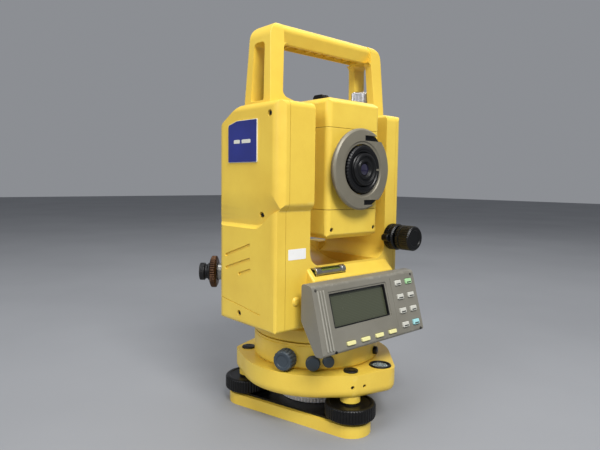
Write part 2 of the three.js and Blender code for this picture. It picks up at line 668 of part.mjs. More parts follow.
// Front view of a telescope cover, in (x, z), for the upper side.
function scopeCover(name, side) {
  const low = SCOPE_SEAM + GAP;
  const crown = rounded([
    [-SCOPE_X, low], [SCOPE_X, low], [SCOPE_X, SCOPE_COVER - 3, 2.5], [SCOPE_X - 6, SCOPE_COVER, 3],
    [-SCOPE_X + 6, SCOPE_COVER, 3], [-SCOPE_X, SCOPE_COVER - 3, 2.5],
  ]);
  const front = extrude(crown, 'y', -SCOPE_Y - 1, SCOPE_Y + 1);
  const flank = rounded([
    [-SCOPE_Y, low - 1], [SCOPE_Y, low - 1], [SCOPE_Y, SCOPE_COVER - 8], [SCOPE_Y - 12, SCOPE_COVER + 1],
    [-SCOPE_Y + 5, SCOPE_COVER + 1], [-SCOPE_Y, SCOPE_COVER - 2],
  ]);
  const blank = toSolid(front).intersect(toSolid(extrude(flank, 'x', -SCOPE_X - 1, SCOPE_X + 1)));
  const room = box(4 - SCOPE_X, SCOPE_X - 4, 5 - SCOPE_Y, SCOPE_Y - 5, low - 1, SCOPE_COVER - 4);
  const shell = cut(toGeometry(blank), room);
  return piece(name, side > 0 ? shell : shell.rotateY(Math.PI), YELLOW);
}

function trunnion(name, side) {
  const profile = [
    [0, SCOPE_X + GAP], [TRUNNION_FLANGE, SCOPE_X + GAP], [TRUNNION_FLANGE, SCOPE_X + 8],
    [TRUNNION_RADIUS, SCOPE_X + 8], [TRUNNION_RADIUS, INNER_X + 8], [0, INNER_X + 8],
  ];
  const shaft = turned(profile);
  return piece(name, side > 0 ? alongX(shaft) : alongMinusX(shaft), STEEL);
}

function verticalCircle() {
  const circle = disc(VERTICAL_CIRCLE, INNER_X + 8.4, INNER_X + 10.6, LARGE_TURN);
  return piece('vertical_circle', alongMinusX(circle), GLASS);
}

function objectiveBarrel() {
  const tip = HALF_LENGTH;
  const bore = LENS_RADIUS + GAP;
  const profile = [
    [bore, SCOPE_Y + GAP], [BARREL_RADIUS, SCOPE_Y + GAP], [BARREL_RADIUS, tip - 9],
    [BARREL_RADIUS + 1.5, tip - 8], [BARREL_RADIUS + 1.5, tip], [bore + 2, tip], [bore, tip - 9],
  ];
  return piece('objective_barrel', alongY(turned(profile, LARGE_TURN)), YELLOW);
}

function objectiveLens() {
  const edge = LENS_BACK + 4;
  const profile = [
    [0, LENS_BACK], [LENS_RADIUS, LENS_BACK], [LENS_RADIUS, edge], [16, edge + 1.6], [8, edge + 2.6],
    [0, edge + 3],
  ];
  return piece('objective_lens', alongY(turned(profile)), GLASS);
}

// The grip stands off the housing on two lugs, so that it is open above and below.
function telescopeGrip() {
  const back = SCOPE_Y + GAP;
  const under = back + GRIP_STAND;
  const face = ring(GRIP_RADIUS, FOCUS_RADIUS + 0.8, under, under + GRIP_FACE, LARGE_TURN);
  const foot = ring(GRIP_RADIUS - 5, FOCUS_RADIUS + 0.8, back, under + 0.4, LARGE_TURN);
  const across = box(-LUG_GAP, LUG_GAP, -40, 40, back - 1, under);
  const notches = GRIP_NOTCHES.map(([low, high]) => box(2, 40, low, high, back + 6, back + 11));
  return piece('telescope_grip', alongMinusY(join(cut(face, ...notches), cut(foot, across))), RING_GREY);
}

function focusingKnob() {
  const back = SCOPE_Y + GAP;
  const profile = [
    [EYEPIECE_RADIUS + 0.6, back], [FOCUS_RADIUS, back], [FOCUS_RADIUS, back + 9.5],
    [FOCUS_RADIUS - 1.5, back + 11], [EYEPIECE_RADIUS + 0.6, back + 11],
  ];
  return piece('focusing_knob', alongMinusY(turned(profile)), BLACK);
}

function eyepiece() {
  const back = SCOPE_Y - 8;
  const tip = EYEPIECE_TIP;
  const profile = [
    [0, back], [EYEPIECE_RADIUS, back], [EYEPIECE_RADIUS, tip - 2], [EYEPIECE_RADIUS - 2, tip],
    [6, tip], [4.5, tip - 3], [0, tip - 3],
  ];
  return piece('eyepiece', alongMinusY(turned(profile)), BLACK);
}

function collimatorSight() {
  const outline = rounded([
    [-9, SCOPE_COVER + GAP], [4, SCOPE_COVER + GAP], [4, SIGHT_TOP - 2, 1], [2, SIGHT_TOP, 1],
    [-7, SIGHT_TOP, 1], [-9, SIGHT_TOP - 2, 1],
  ]);
  return piece('collimator_sight', extrude(outline, 'x', -4, 4), BLACK);
}

// ---------------------------------------------------------------- display unit

const FACE_RISE = new THREE.Vector2(FACE_TOP[0] - FACE_BOTTOM[0], FACE_TOP[1] - FACE_BOTTOM[1]);
const FACE_LEAN = Math.atan2(FACE_RISE.x, FACE_RISE.y);

// Places a solid made on the face's own axes: x across, z up the face, -y out of it.
function onFace(geometry) {
  return geometry.rotateX(-FACE_LEAN).translate(0, ...FACE_BOTTOM);
}

function displayHousing(keys) {
  const profile = rounded([
    [FACE_BOTTOM[0], FACE_BOTTOM[1], 2], [FACE_BOTTOM[0] + 9, FACE_BOTTOM[1] - 0.5, 2],
    [FACE_BACK, FACE_BOTTOM[1] + 24, 3], [FACE_BACK, FACE_TOP[1] + 2, 3], [FACE_TOP[0], FACE_TOP[1], 3],
  ]);
  const blank = extrude(profile, 'x', -FACE_HALF - 1, FACE_HALF + 1);
  const [left, right, low, high] = WINDOW;
  const window = onFace(box(left, right, -3, WINDOW_DEPTH, low, high));
  const wells = keys.map(({ u, v, width, height }) => {
    const reach = KEY_TRAVEL + 2.4;
    return onFace(box(u - width / 2 - GAP, u + width / 2 + GAP, -3, reach,
      v - height / 2 - GAP, v + height / 2 + GAP));
  });
  return piece('display_housing', cut(blank, window, ...wells), GREY);
}

function displayWindow() {
  const [left, right, low, high] = WINDOW;
  const back = WINDOW_DEPTH - GAP;
  const pane = box(left + GAP, right - GAP, back - 1.5, back, low + GAP, high - GAP);
  return piece('display_window', onFace(pane), LCD);
}

// Keys on the face: the middle of the first one, the steps between them and their size.
const SOFT_KEYS = { u: -32, v: 6.3, pitch: 17.3, width: 9.4, height: 3.2 };
const PAD_KEYS = { u: 39, v: 46, across: 15, down: 12.3, width: 8, height: 4.6 };

function keyLayout() {
  const softKeys = [0, 1, 2, 3].map((i) => {
    const { u, v, pitch, width, height } = SOFT_KEYS;
    return { name: `soft_key_${i + 1}`, u: u + pitch * i, v, width, height };
  });
  const padKeys = [0, 1, 2, 3, 4, 5, 6, 7].map((i) => {
    const { u, v, across, down, width, height } = PAD_KEYS;
    const place = { u: u + across * (i % 2), v: v - down * Math.floor(i / 2) };
    return { name: `keypad_key_${i + 1}`, ...place, width, height };
  });
  return [...softKeys, ...padKeys];
}

function key({ name, u, v, width, height }) {
  const cap = box(u - width / 2, u + width / 2, -KEY_PROUD, 2, v - height / 2, v + height / 2);
  return piece(name, onFace(cap), KEY_WHITE);
}

function displayUnit() {
  const keys = keyLayout();
  return group([displayHousing(keys), displayWindow(), ...keys.map(key)]);
}

// ---------------------------------------------------------------- optical plummet and motion knobs

// The plummet's eyepiece corner is the leftmost point of the instrument.
const PLUMMET_EYE_RADIUS = 8;
const PLUMMET_TIP =
  (HALF_WIDTH - PLUMMET_EYE_RADIUS * Math.sin(PLUMMET_ANGLE)) / -Math.cos(PLUMMET_ANGLE);

function plummet() {
  const ringFrom = PLUMMET_TIP - 16.5;
  const ringTo = ringFrom + 6.5;
  const inner = PLUMMET_EYE_RADIUS + GAP;
  const tube = ring(PLUMMET_RADIUS, PLUMMET_RADIUS - 2, 22, ringFrom - GAP, SMALL_TURN);
  const focus = turned([
    [inner, ringFrom], [PLUMMET_RING - 1, ringFrom], [PLUMMET_RING, ringFrom + 1.5],
    [PLUMMET_RING, ringTo - 1.5], [PLUMMET_RING - 1, ringTo], [inner, ringTo],
  ]);
  const tip = PLUMMET_TIP;
  const eye = turned([
    [0, ringFrom + 1], [PLUMMET_EYE_RADIUS, ringFrom + 1], [PLUMMET_EYE_RADIUS, tip],
    [4, tip], [3, tip - 2], [0, tip - 2],
  ]);
  return group([
    piece('plummet_tube', outward(tube, PLUMMET_ANGLE), STEEL),
    piece('plummet_focusing_ring', outward(focus, PLUMMET_ANGLE), BRONZE),
    piece('plummet_eyepiece', outward(eye, PLUMMET_ANGLE), BLACK),
  ], 0, 0, PLUMMET_Z);
}

// A clamp knob against the frame and a tangent knob in front of it on the same axis.
function clampProfile(start, radius, length) {
  return turned([
    [0, start], [6, start], [6, start + 2], [radius, start + 2], [radius, start + length - 1],
    [radius - 1, start + length], [0, start + length],
  ]);
}

const VERTICAL_DRIVE = {
  x: 54, z: 157.5, clampRadius: 12, clampLength: 12, tangentRadius: 11.2, tangentLength: 17,
};
const CLAMP_LEVER = 16;
const HORIZONTAL_DRIVE = { y: -12, z: 103, clampRadius: 11, clampLength: 6.6, tangentRadius: 9.5 };

function verticalDrive() {
  const start = -LOWER_FRONT + GAP;
  const { x, z, clampRadius, tangentRadius, clampLength, tangentLength } = VERTICAL_DRIVE;
  const clamp = clampProfile(start, clampRadius, clampLength);
  const lever = box(-CLAMP_LEVER, 0, -start - clampLength + 1, -start - 3, -3.5, 3.5);
  const tangent = clampProfile(start + clampLength + GAP, tangentRadius, tangentLength);
  return group([
    piece('vertical_clamp_knob', join(alongMinusY(clamp), lever), BLACK),
    piece('vertical_tangent_knob', alongMinusY(tangent), BLACK),
  ], x, 0, z);
}

function horizontalDrive() {
  const start = RIGHT_FACE + GAP;
  const { y, z, clampRadius, tangentRadius, clampLength } = HORIZONTAL_DRIVE;
  const middle = start + clampLength + GAP;
  const clamp = clampProfile(start, clampRadius, clampLength);
  const tangent = clampProfile(middle, tangentRadius, HALF_WIDTH - middle);
  return group([
    piece('horizontal_clamp_knob', alongX(clamp), BLACK),
    piece('horizontal_tangent_knob', alongX(tangent), BLACK),
  ], 0, y, z);
}

// ---------------------------------------------------------------- the whole instrument

const tribrach = group([
  basePlate(),
  tripodHub(),
  springPlate(),
  ...[0, 1, 2].map(footScrew),
  tribrachBody(),
  circularLevel(),
  baseDrum(),
  lockKnob(),
  ...PORTS.map(portCap),
  verticalAxis(),
  horizontalCircle(),
]);

const alidade = group([
  alidadeFrame(),
  leftSideCover(),
  namePlate(),
  rightSideCover(),
  battery(),
  batteryLatch(),
  mainBoard(),
  plateLevel(),
  displayUnit(),
  plummet(),
  verticalDrive(),
  horizontalDrive(),
]);

const carryingHandle = group([
  handle(),
  handleScrew('left_handle_screw', -1),
  handleScrew('right_handle_screw', 1),
]);

const telescope = group([
  telescopeHousing(),
  scopeCover('telescope_top_cover', 1),
  scopeCover('telescope_bottom_cover', -1),
  trunnion('left_trunnion', -1),
  trunnion('right_trunnion', 1),
  verticalCircle(),
  objectiveBarrel(),
  objectiveLens(),
  telescopeGrip(),
  focusingKnob(),
  eyepiece(),
  collimatorSight(),
], 0, 0, AXIS_Z);

export default group([tribrach, alidade, carryingHandle, telescope]);
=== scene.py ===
import json
import math

import bmesh
import bpy
from mathutils import Matrix, Vector


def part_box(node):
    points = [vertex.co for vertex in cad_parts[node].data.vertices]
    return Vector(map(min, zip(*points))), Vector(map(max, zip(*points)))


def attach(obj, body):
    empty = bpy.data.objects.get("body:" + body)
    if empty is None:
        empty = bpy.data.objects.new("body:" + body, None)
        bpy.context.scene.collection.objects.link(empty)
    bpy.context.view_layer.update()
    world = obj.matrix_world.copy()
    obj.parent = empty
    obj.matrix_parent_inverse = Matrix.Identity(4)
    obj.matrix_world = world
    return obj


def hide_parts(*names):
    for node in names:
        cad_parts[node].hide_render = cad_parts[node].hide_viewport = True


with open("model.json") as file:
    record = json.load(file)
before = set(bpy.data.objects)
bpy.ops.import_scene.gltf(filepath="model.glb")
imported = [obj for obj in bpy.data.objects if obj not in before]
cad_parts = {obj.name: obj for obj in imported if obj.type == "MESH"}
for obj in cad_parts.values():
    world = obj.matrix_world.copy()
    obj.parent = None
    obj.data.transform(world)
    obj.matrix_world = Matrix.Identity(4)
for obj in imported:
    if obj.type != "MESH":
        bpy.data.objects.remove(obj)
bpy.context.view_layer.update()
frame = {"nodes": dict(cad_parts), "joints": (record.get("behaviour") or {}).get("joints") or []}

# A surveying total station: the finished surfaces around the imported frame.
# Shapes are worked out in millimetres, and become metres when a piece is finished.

MM = 0.001
TINY = 1e-6

# ---- places and sizes


def span(node):
    """The lowest and highest corner of a node, in millimetres."""
    low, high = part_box(node)
    return low / MM, high / MM


def joint_place(name):
    """The point and direction of a joint, in millimetres."""
    joint = next(j for j in frame["joints"] if j["name"] == name)
    return Vector(joint.get("pos_m", (0, 0, 0))) / MM, Vector(joint["axis"]).normalized()


GAP = 0.3  # clearance between pieces that stand against each other

# read from the frame
TILT = joint_place("telescope_tilt")[0]
SCOPE_HIGH = span("telescope_housing")[1]
SCOPE_X = SCOPE_HIGH.x
SCOPE_Y = SCOPE_HIGH.y
SEAM = SCOPE_HIGH.z - TILT.z
COVER_RISE = span("telescope_top_cover")[1].z - TILT.z
LEFT_LOW, LEFT_HIGH = span("left_side_cover")
RIGHT_LOW, RIGHT_HIGH = span("right_side_cover")
FRAME_LOW, FRAME_HIGH = span("alidade_frame")
CAST_LEFT = FRAME_LOW.x
CAST_RIGHT = RIGHT_LOW.x - GAP
TOP = LEFT_HIGH.z
BOTTOM = LEFT_LOW.z
FEET = [joint_place(f"foot_screw_{i}_turn")[0] for i in (1, 2, 3)]
FOOT_TURN = math.atan2(FEET[0].y, FEET[0].x)

FOOT_HOLE = 5.4  # radius of the hole that a foot screw stands in
HUB_HOLE = 17
INNER_X = 46.8  # inner faces of the two standards
YOKE_TOP = 138
LOWER_FRONT = RIGHT_LOW.y
UPPER_FRONT = LEFT_LOW.y
LOWER_BACK = RIGHT_HIGH.y
UPPER_BACK = LEFT_HIGH.y
LEDGE_HIGH = 189  # the left cover's front edge steps back between these two heights
LEDGE_LOW = 184
SIDE_LEDGE = 170  # the left cover's hollowed side stands on a ledge at this height
LEDGE_TOP = 200
COVER_CORNER = 11
TOP_CORNER = 6
SWING = 88.5  # reach of the telescope's longer end

# the display's face, with its own directions: across, up the face and out of it
FACE_ORIGIN = Vector((0, -76.3, 74.2))
FACE_UP = Vector((0, 0.2788, 0.9603)).normalized()
FACE_OUT = Vector((0, -0.9603, 0.2788)).normalized()
FACE_LENGTH = 54.9

# ---- outlines and solids


def smooth_path(corners, closed=True, steps=6):
    """Points along a path through corners (a, b) or (a, b, radius), with each radius as an arc."""
    points = []
    for i, corner in enumerate(corners):
        here = Vector(corner[:2])
        radius = corner[2] if len(corner) > 2 else 0
        is_end = not closed and i in (0, len(corners) - 1)
        if radius <= 0 or is_end:
            points.append(here)
            continue
        back = (Vector(corners[i - 1][:2]) - here).normalized()
        ahead = (Vector(corners[(i + 1) % len(corners)][:2]) - here).normalized()
        half = back.angle(ahead) / 2
        centre = here + (back + ahead).normalized() * (radius / math.sin(half))
        spoke = here + back * (radius / math.tan(half)) - centre
        sweep = math.pi - 2 * half
        if back.cross(ahead) > 0:
            sweep = -sweep
        for k in range(steps + 1):
            points.append(centre + Matrix.Rotation(sweep * k / steps, 2) @ spoke)
    return points


def rectangle(a0, a1, b0, b1, radius=0.0, steps=6):
    corners = [(a0, b0, radius), (a1, b0, radius), (a1, b1, radius), (a0, b1, radius)]
    return smooth_path(corners, steps=steps)


WELD = 0.01  # points nearer than this are one point


def weld(bm):
    """Joins points that stand on each other, and clears the slivers between them."""
    bmesh.ops.remove_doubles(bm, verts=bm.verts, dist=WELD)
    bmesh.ops.dissolve_degenerate(bm, edges=bm.edges, dist=WELD)


def solid(bm):
    """A working object, in millimetres."""
    weld(bm)
    bmesh.ops.recalc_face_normals(bm, faces=bm.faces)
    mesh = bpy.data.meshes.new("working")
    bm.to_mesh(mesh)
    bm.free()
    thing = bpy.data.objects.new("working", mesh)
    bpy.context.scene.collection.objects.link(thing)
    return thing


AXES = {
    "x": (Vector((0, 1, 0)), Vector((0, 0, 1)), Vector((1, 0, 0))),
    "y": (Vector((1, 0, 0)), Vector((0, 0, 1)), Vector((0, 1, 0))),
    "z": (Vector((1, 0, 0)), Vector((0, 1, 0)), Vector((0, 0, 1))),
}


def prism(points, axis, low, high):
    """A flat outline, drawn in (y, z), (x, z) or (x, y), run along an axis."""
    across, up, along = AXES[axis]
    bm = bmesh.new()
    ends = [[bm.verts.new(across * a + up * b + along * h) for a, b in points] for h in (low, high)]
    bm.faces.new(ends[0])
    bm.faces.new(reversed(ends[1]))
    for i in range(len(points)):
        bm.faces.new((ends[0][i - 1], ends[0][i], ends[1][i], ends[1][i - 1]))
    return solid(bm)


def block(x0, x1, y0, y1, z0, z1):
    return prism(rectangle(x0, x1, y0, y1), "z", z0, z1)


def lathe(profile, segments=96, shape=None):
    """A profile of (radius, height) turned about Z. shape changes the radius with the angle."""
    bm = bmesh.new()
    rings = []
    for radius, height in profile:
        if radius < TINY:
            rings.append([bm.verts.new((0, 0, height))] * segments)
            continue
        ring = []
        for k in range(segments):
            angle = 2 * math.pi * k / segments
            reach = shape(radius, height, angle) if shape else radius
            ring.append(bm.verts.new((reach * math.cos(angle), reach * math.sin(angle), height)))
        rings.append(ring)
    is_loop = profile[0][0] > TINY
    for i in range(0 if is_loop else 1, len(rings)):
        low, high = rings[i - 1], rings[i]
        for k in range(segments):
            ahead = (k + 1) % segments
            corners = dict.fromkeys((low[k], low[ahead], high[ahead], high[k]))
            if len(corners) > 2:
                bm.faces.new(corners)
    return solid(bm)


def loft(sections):
    """A solid through closed outlines that have the same number of points (x, y, z)."""
    bm = bmesh.new()
    rings = [[bm.verts.new(point) for point in section] for section in sections]
    bm.faces.new(rings[0])
    bm.faces.new(reversed(rings[-1]))
    for low, high in zip(rings, rings[1:]):
        for i in range(len(low)):
            bm.faces.new((low[i - 1], low[i], high[i], high[i - 1]))
    return solid(bm)


def band_round(circles, inset, steps=240):
    """The outline of a band pulled tight round circles (x, y, radius), a little inside it."""
    outline = []
    for k in range(steps):
        out = Vector((math.cos(2 * math.pi * k / steps), math.sin(2 * math.pi * k / steps)))
        x, y, radius = max(circles, key=lambda circle: out.dot(circle[:2]) + circle[2])
        outline.append(Vector((x, y)) + out * (radius - inset))
    return outline


def turned(corners, segments=96, shape=None, steps=4):
    """A lathe whose profile corners (radius, height, fillet) are rounded."""
    is_loop = corners[0][0] > TINY
    path = smooth_path(corners, closed=is_loop, steps=steps)
    return lathe([(p.x, p.y) for p in path], segments, shape)


def disc(radius, low, high, segments=96):
    return lathe([(0, low), (radius, low), (radius, high), (0, high)], segments)


def knurled(corners, count, depth, from_radius, low=-1e3, high=1e3, steps=4, points=6):
    """A turned knob with rounded grip ridges on its outside, each of a few points."""
    def shape(radius, height, angle):
        if radius < from_radius or not low < height < high:
            return radius
        return radius - depth * (1 - abs(math.sin(count * angle / 2)))
    return turned(corners, count * points, shape, steps)


def placed(thing, direction=(0, 0, 1), origin=(0, 0, 0)):
    """Stands something made on +Z along a direction, with its zero at an origin."""
    turn = Vector(direction).to_track_quat("Z", "Y").to_matrix().to_4x4()
    thing.data.transform(Matrix.Translation(Vector(origin)) @ turn)
    return thing


def face_panel(left, right, bottom, top, radius, back, front, steps=6):
    """A rounded block on the display's face, measured across, up the face and out of it."""
    panel = prism(rectangle(left, right, bottom, top, radius, steps), "z", back, front)
    turn = Matrix((Vector((1, 0, 0)), FACE_UP, FACE_OUT)).transposed().to_4x4()
    panel.data.transform(Matrix.Translation(FACE_ORIGIN) @ turn)
    return panel


def settle(thing):
    """Applies the modifiers of a working object, and clears the slivers that they leave."""
    graph = bpy.context.evaluated_depsgraph_get()
    mesh = bpy.data.meshes.new_from_object(thing.evaluated_get(graph))
    thing.modifiers.clear()
    bm = bmesh.new()
    bm.from_mesh(mesh)
    weld(bm)
    bm.to_mesh(mesh)
    bm.free()
    thing.data = mesh
    return thing


def combine(body, operation, tools):
    for tool in tools:
        modifier = body.modifiers.new(operation, "BOOLEAN")
        modifier.operation = operation
        modifier.solver = "EXACT"
        modifier.object = tool
    settle(body)
    for tool in tools:
        bpy.data.objects.remove(tool)
    return body


def cut(body, *tools):
    return combine(body, "DIFFERENCE", tools)


def join(body, *tools):
    return combine(body, "UNION", tools)


def common(body, *tools):
    return combine(body, "INTERSECT", tools)


def bevelled(thing, width, segments=3, angle=32):
    modifier = thing.modifiers.new("bevel", "BEVEL")
    modifier.width = width
    modifier.segments = segments
    modifier.limit_method = "ANGLE"
    modifier.angle_limit = math.radians(angle)
    modifier.miter_outer = "MITER_ARC"
    return settle(thing)


def merged(things):
    """Several separate working solids as one mesh."""
    bm = bmesh.new()
    for thing in things:
        bm.from_mesh(thing.data)
        bpy.data.objects.remove(thing)
    return solid(bm)


KNURL_SHARP = 50  # edges that turn by more degrees than this stay sharp on a knurled piece
THIN = 0.9  # a face narrower than this along an outer edge can show wear
EDGE_TURN = math.radians(12)


def mark_wear(mesh):
    """Stores how far each face is a narrow outer edge, where paint rubs away."""
    bm = bmesh.new()
    bm.from_mesh(mesh)
    layer = bm.loops.layers.float.new("edge")
    for face in bm.faces:
        perimeter = sum(edge.calc_length() for edge in face.edges)
        width = 2 * face.calc_area() / max(perimeter, TINY)
        turns = [edge.calc_face_angle_signed(0) for edge in face.edges if edge.is_manifold]
        is_edge = width < THIN and turns and max(turns) > EDGE_TURN
        for loop in face.loops:
            loop[layer] = 1.0 if is_edge else 0.0
    bm.to_mesh(mesh)
    bm.free()


def finish(thing, name, material, body, replaces=(), sharp=38, slot=None):
    """Turns a working solid into a piece of the object, in metres, riding a body."""
    slot = slot or SLOTS[material]
    mesh = thing.data
    mark_wear(mesh)
    mesh.transform(Matrix.Scale(MM, 4))
    mesh.shade_smooth()
    mesh.set_sharp_from_angle(angle=math.radians(sharp))
    mesh.materials.clear()
    mesh.materials.append(material)
    mesh.name = name
    thing.name = name
    normals = thing.modifiers.new("normals", "WEIGHTED_NORMAL")
    normals.keep_sharp = True
    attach(thing, body)
    if replaces:
        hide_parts(*replaces)
    return thing


# ---- materials


def linear(hex_colour):
    """A colour written as sRGB hex, as the shader's linear colour."""
    channels = [int(hex_colour[i : i + 2], 16) / 255 for i in (0, 2, 4)]
    return tuple(c / 12.92 if c <= 0.04045 else ((c + 0.055) / 1.055) ** 2.4 for c in channels) + (1,)


def feed(tree, node, inputs):
    """Links or sets a node's inputs."""
    for key, value in inputs.items():
        if isinstance(value, bpy.types.NodeSocket):
            tree.links.new(value, node.inputs[key])
        else:
            node.inputs[key].default_value = value


def add_node(tree, kind, inputs=None, **settings):
    node = tree.nodes.new(kind)
    for key, value in settings.items():
        setattr(node, key, value)
    feed(tree, node, inputs or {})
    return node


def noise(tree, coordinates, scale, detail=3.0, roughness=0.5):
    inputs = {"Vector": coordinates, "Scale": scale, "Detail": detail, "Roughness": roughness}
    return add_node(tree, "ShaderNodeTexNoise", inputs).outputs["Fac"]


def between(tree, value, low, high, to_low, to_high):
    inputs = {"Value": value, "From Min": low, "From Max": high, "To Min": to_low, "To Max": to_high}
    return add_node(tree, "ShaderNodeMapRange", inputs).outputs["Result"]


def mixed(tree, amount, first, second):
    """A colour between two others, which are sockets 6 and 7 of a mix node."""
    mix = add_node(tree, "ShaderNodeMix", data_type="RGBA")
    feed(tree, mix, {"Factor": amount, 6: first, 7: second})
    return mix.outputs[2]


def product(tree, first, second):
    return add_node(tree, "ShaderNodeMath", {0: first, 1: second}, operation="MULTIPLY").outputs[0]


def bump(tree, height, strength, distance):
    inputs = {"Height": height, "Strength": strength, "Distance": distance}
    return add_node(tree, "ShaderNodeBump", inputs).outputs["Normal"]


def new_material(name):
    material = bpy.data.materials.new(name)
    material.use_nodes = True
    tree = material.node_tree
    coordinates = add_node(tree, "ShaderNodeTexCoord").outputs["Object"]
    return material, tree, tree.nodes["Principled BSDF"], coordinates


def worn_surface(
    name, colour, shade, roughness, grain, grain_depth,
    worn=None, wear=0.5, metallic=0, coat=0, specular=0.5,
):
    """A coated or moulded surface: broad tone changes, fine grain, and worn outer edges."""
    material, tree, shader, place = new_material(name)
    broad = between(tree, noise(tree, place, 16, 5, 0.6), 0.35, 0.7, 0, 1)
    base = mixed(tree, broad, linear(colour), linear(shade))
    specks = between(tree, noise(tree, place, 420, 2), 0.66, 0.74, 0, 0.25)
    base = mixed(tree, specks, base, linear(shade))
    if worn:
        edge = add_node(tree, "ShaderNodeAttribute", attribute_name="edge").outputs["Fac"]
        rubbed = between(tree, noise(tree, place, 130, 4, 0.7), 0.5, 0.62, 0, wear)
        base = mixed(tree, product(tree, edge, rubbed), base, linear(worn))
    smudge = noise(tree, place, 45, 4, 0.65)
    feed(tree, shader, {
        "Base Color": base,
        "Roughness": between(tree, smudge, 0.3, 0.7, roughness - 0.07, roughness + 0.09),
        "Metallic": metallic,
        "Coat Weight": coat,
        "Coat Roughness": 0.25,
        "Specular IOR Level": specular,
        "Normal": bump(tree, noise(tree, place, grain, 3), 0.5, grain_depth),
    })
    return material


def yellow_paint():
    return worn_surface("yellow_paint", "ebcb4f", "dfbb44", 0.4, 700, 12e-5, "f3e29a", 0.16, coat=0.12)


def panel_grey(name, colour, shade):
    return worn_surface(name, colour, shade, 0.5, 1500, 10e-5, "a3a196", 0.25)


def grip_grey():
    return worn_surface("grip_grey", "837e6f", "736e60", 0.42, 1100, 6e-5, "a19c8c", 0.3, metallic=0.25)


def black_plastic():
    return worn_surface(
        "black_plastic", "0f0f11", "0a0a0b", 0.36, 1600, 8e-5, "2e2e30", 0.25, specular=0.35
    )


def rubber_black():
    return worn_surface("rubber_black", "09090a", "060607", 0.34, 1300, 8e-5, "262626", 0.2, specular=0.3)


# steel coloured nearly white: painted light, so that the tripod hub reads bright where it sits in shade
# under the tribrach body
def hub_steel_painted_bright():
    return worn_surface("hub_steel_painted_bright", "f0f0f2", "d4d4d8", 0.34, 1500, 3e-5, metallic=0.2)


def slate_plastic():
    return worn_surface("slate_plastic", "38434c", "2c353d", 0.5, 1400, 8e-5, "66727c", 0.4)


def blue_plate():
    return worn_surface("blue_plate", "24308a", "1b2570", 0.35, 900, 3e-5, coat=0.3)


def pale_print():
    return worn_surface("pale_print", "dcdccf", "cfcfc2", 0.45, 900, 3e-5)


def white_sticker():
    return worn_surface("white_sticker", "f2f2f0", "e2e2dd", 0.5, 700, 4e-5)


def key_material(name, colour):
    return worn_surface(name, colour, colour, 0.5, 1600, 6e-5)


def bricks(tree, place, scale, mortar_size, first, second, mortar, **settings):
    inputs = {
        "Vector": place, "Scale": scale, "Mortar Size": mortar_size, "Color1": linear(first),
        "Color2": linear(second), "Mortar": linear(mortar),
    }
    return add_node(tree, "ShaderNodeTexBrick", inputs, **settings).outputs["Color"]


def circuit_board():
    material, tree, shader, place = new_material("circuit_board")
    tracks = bricks(tree, place, 90, 0.03, "1f6b3a", "1a5c32", "a88f4a")
    feed(tree, shader, {"Base Color": tracks, "Roughness": 0.4})
    return material


def metal(name, colour, shade, roughness, direction):
    """Turned or ground metal, with fine streaks across a direction and faint stains."""
    material, tree, shader, place = new_material(name)
    squash = add_node(tree, "ShaderNodeMapping", {"Vector": place, "Scale": direction}).outputs[0]
    streaks = noise(tree, squash, 1500, 3, 0.6)
    stains = between(tree, noise(tree, place, 60, 4), 0.4, 0.7, 0, 1)
    feed(tree, shader, {
        "Base Color": mixed(tree, stains, linear(colour), linear(shade)),
        "Roughness": between(tree, streaks, 0.3, 0.7, roughness - 0.06, roughness + 0.1),
        "Metallic": 1,
        "Normal": bump(tree, streaks, 0.3, 3e-5),
    })
    return material


def clear_glass(name, tint, roughness=0.03):
    material, tree, shader, place = new_material(name)
    film = between(tree, noise(tree, place, 80, 3), 0.4, 0.7, roughness, roughness + 0.05)
    inputs = {"Base Color": linear(tint), "Roughness": film, "Transmission Weight": 0.85, "IOR": 1.5}
    feed(tree, shader, inputs)
    return material


def coated_lens():
    """Dark glass with the faint purple bloom of an anti-reflection coating."""
    material, tree, shader, place = new_material("coated_lens")
    bloom = between(tree, noise(tree, place, 35, 2), 0.35, 0.65, 0, 1)
    colour = mixed(tree, bloom, linear("0f1018"), linear("221c3c"))
    film = between(tree, noise(tree, place, 60, 3), 0.4, 0.7, 0.03, 0.08)
    inputs = {"Base Color": colour, "Roughness": film, "Coat Weight": 0.8, "Coat Roughness": 0.03}
    feed(tree, shader, inputs)
    return material


def lcd_screen():
    """A dull olive screen with a faint dot grid."""
    material, tree, shader, place = new_material("lcd_screen")
    grid = bricks(tree, place, 700, 0.06, "4c5041", "4a4e3f", "414434", offset=0)
    cloud = between(tree, noise(tree, place, 30, 3), 0.4, 0.7, 0, 0.5)
    colour = mixed(tree, cloud, grid, linear("434838"))
    film = between(tree, noise(tree, place, 120, 3), 0.4, 0.7, 0.16, 0.28)
    inputs = {"Base Color": colour, "Roughness": film, "Coat Weight": 0.25, "Coat Roughness": 0.15}
    feed(tree, shader, inputs)
    return material


YELLOW = yellow_paint()
GREY = panel_grey("panel_grey", "7c796f", "706d62")
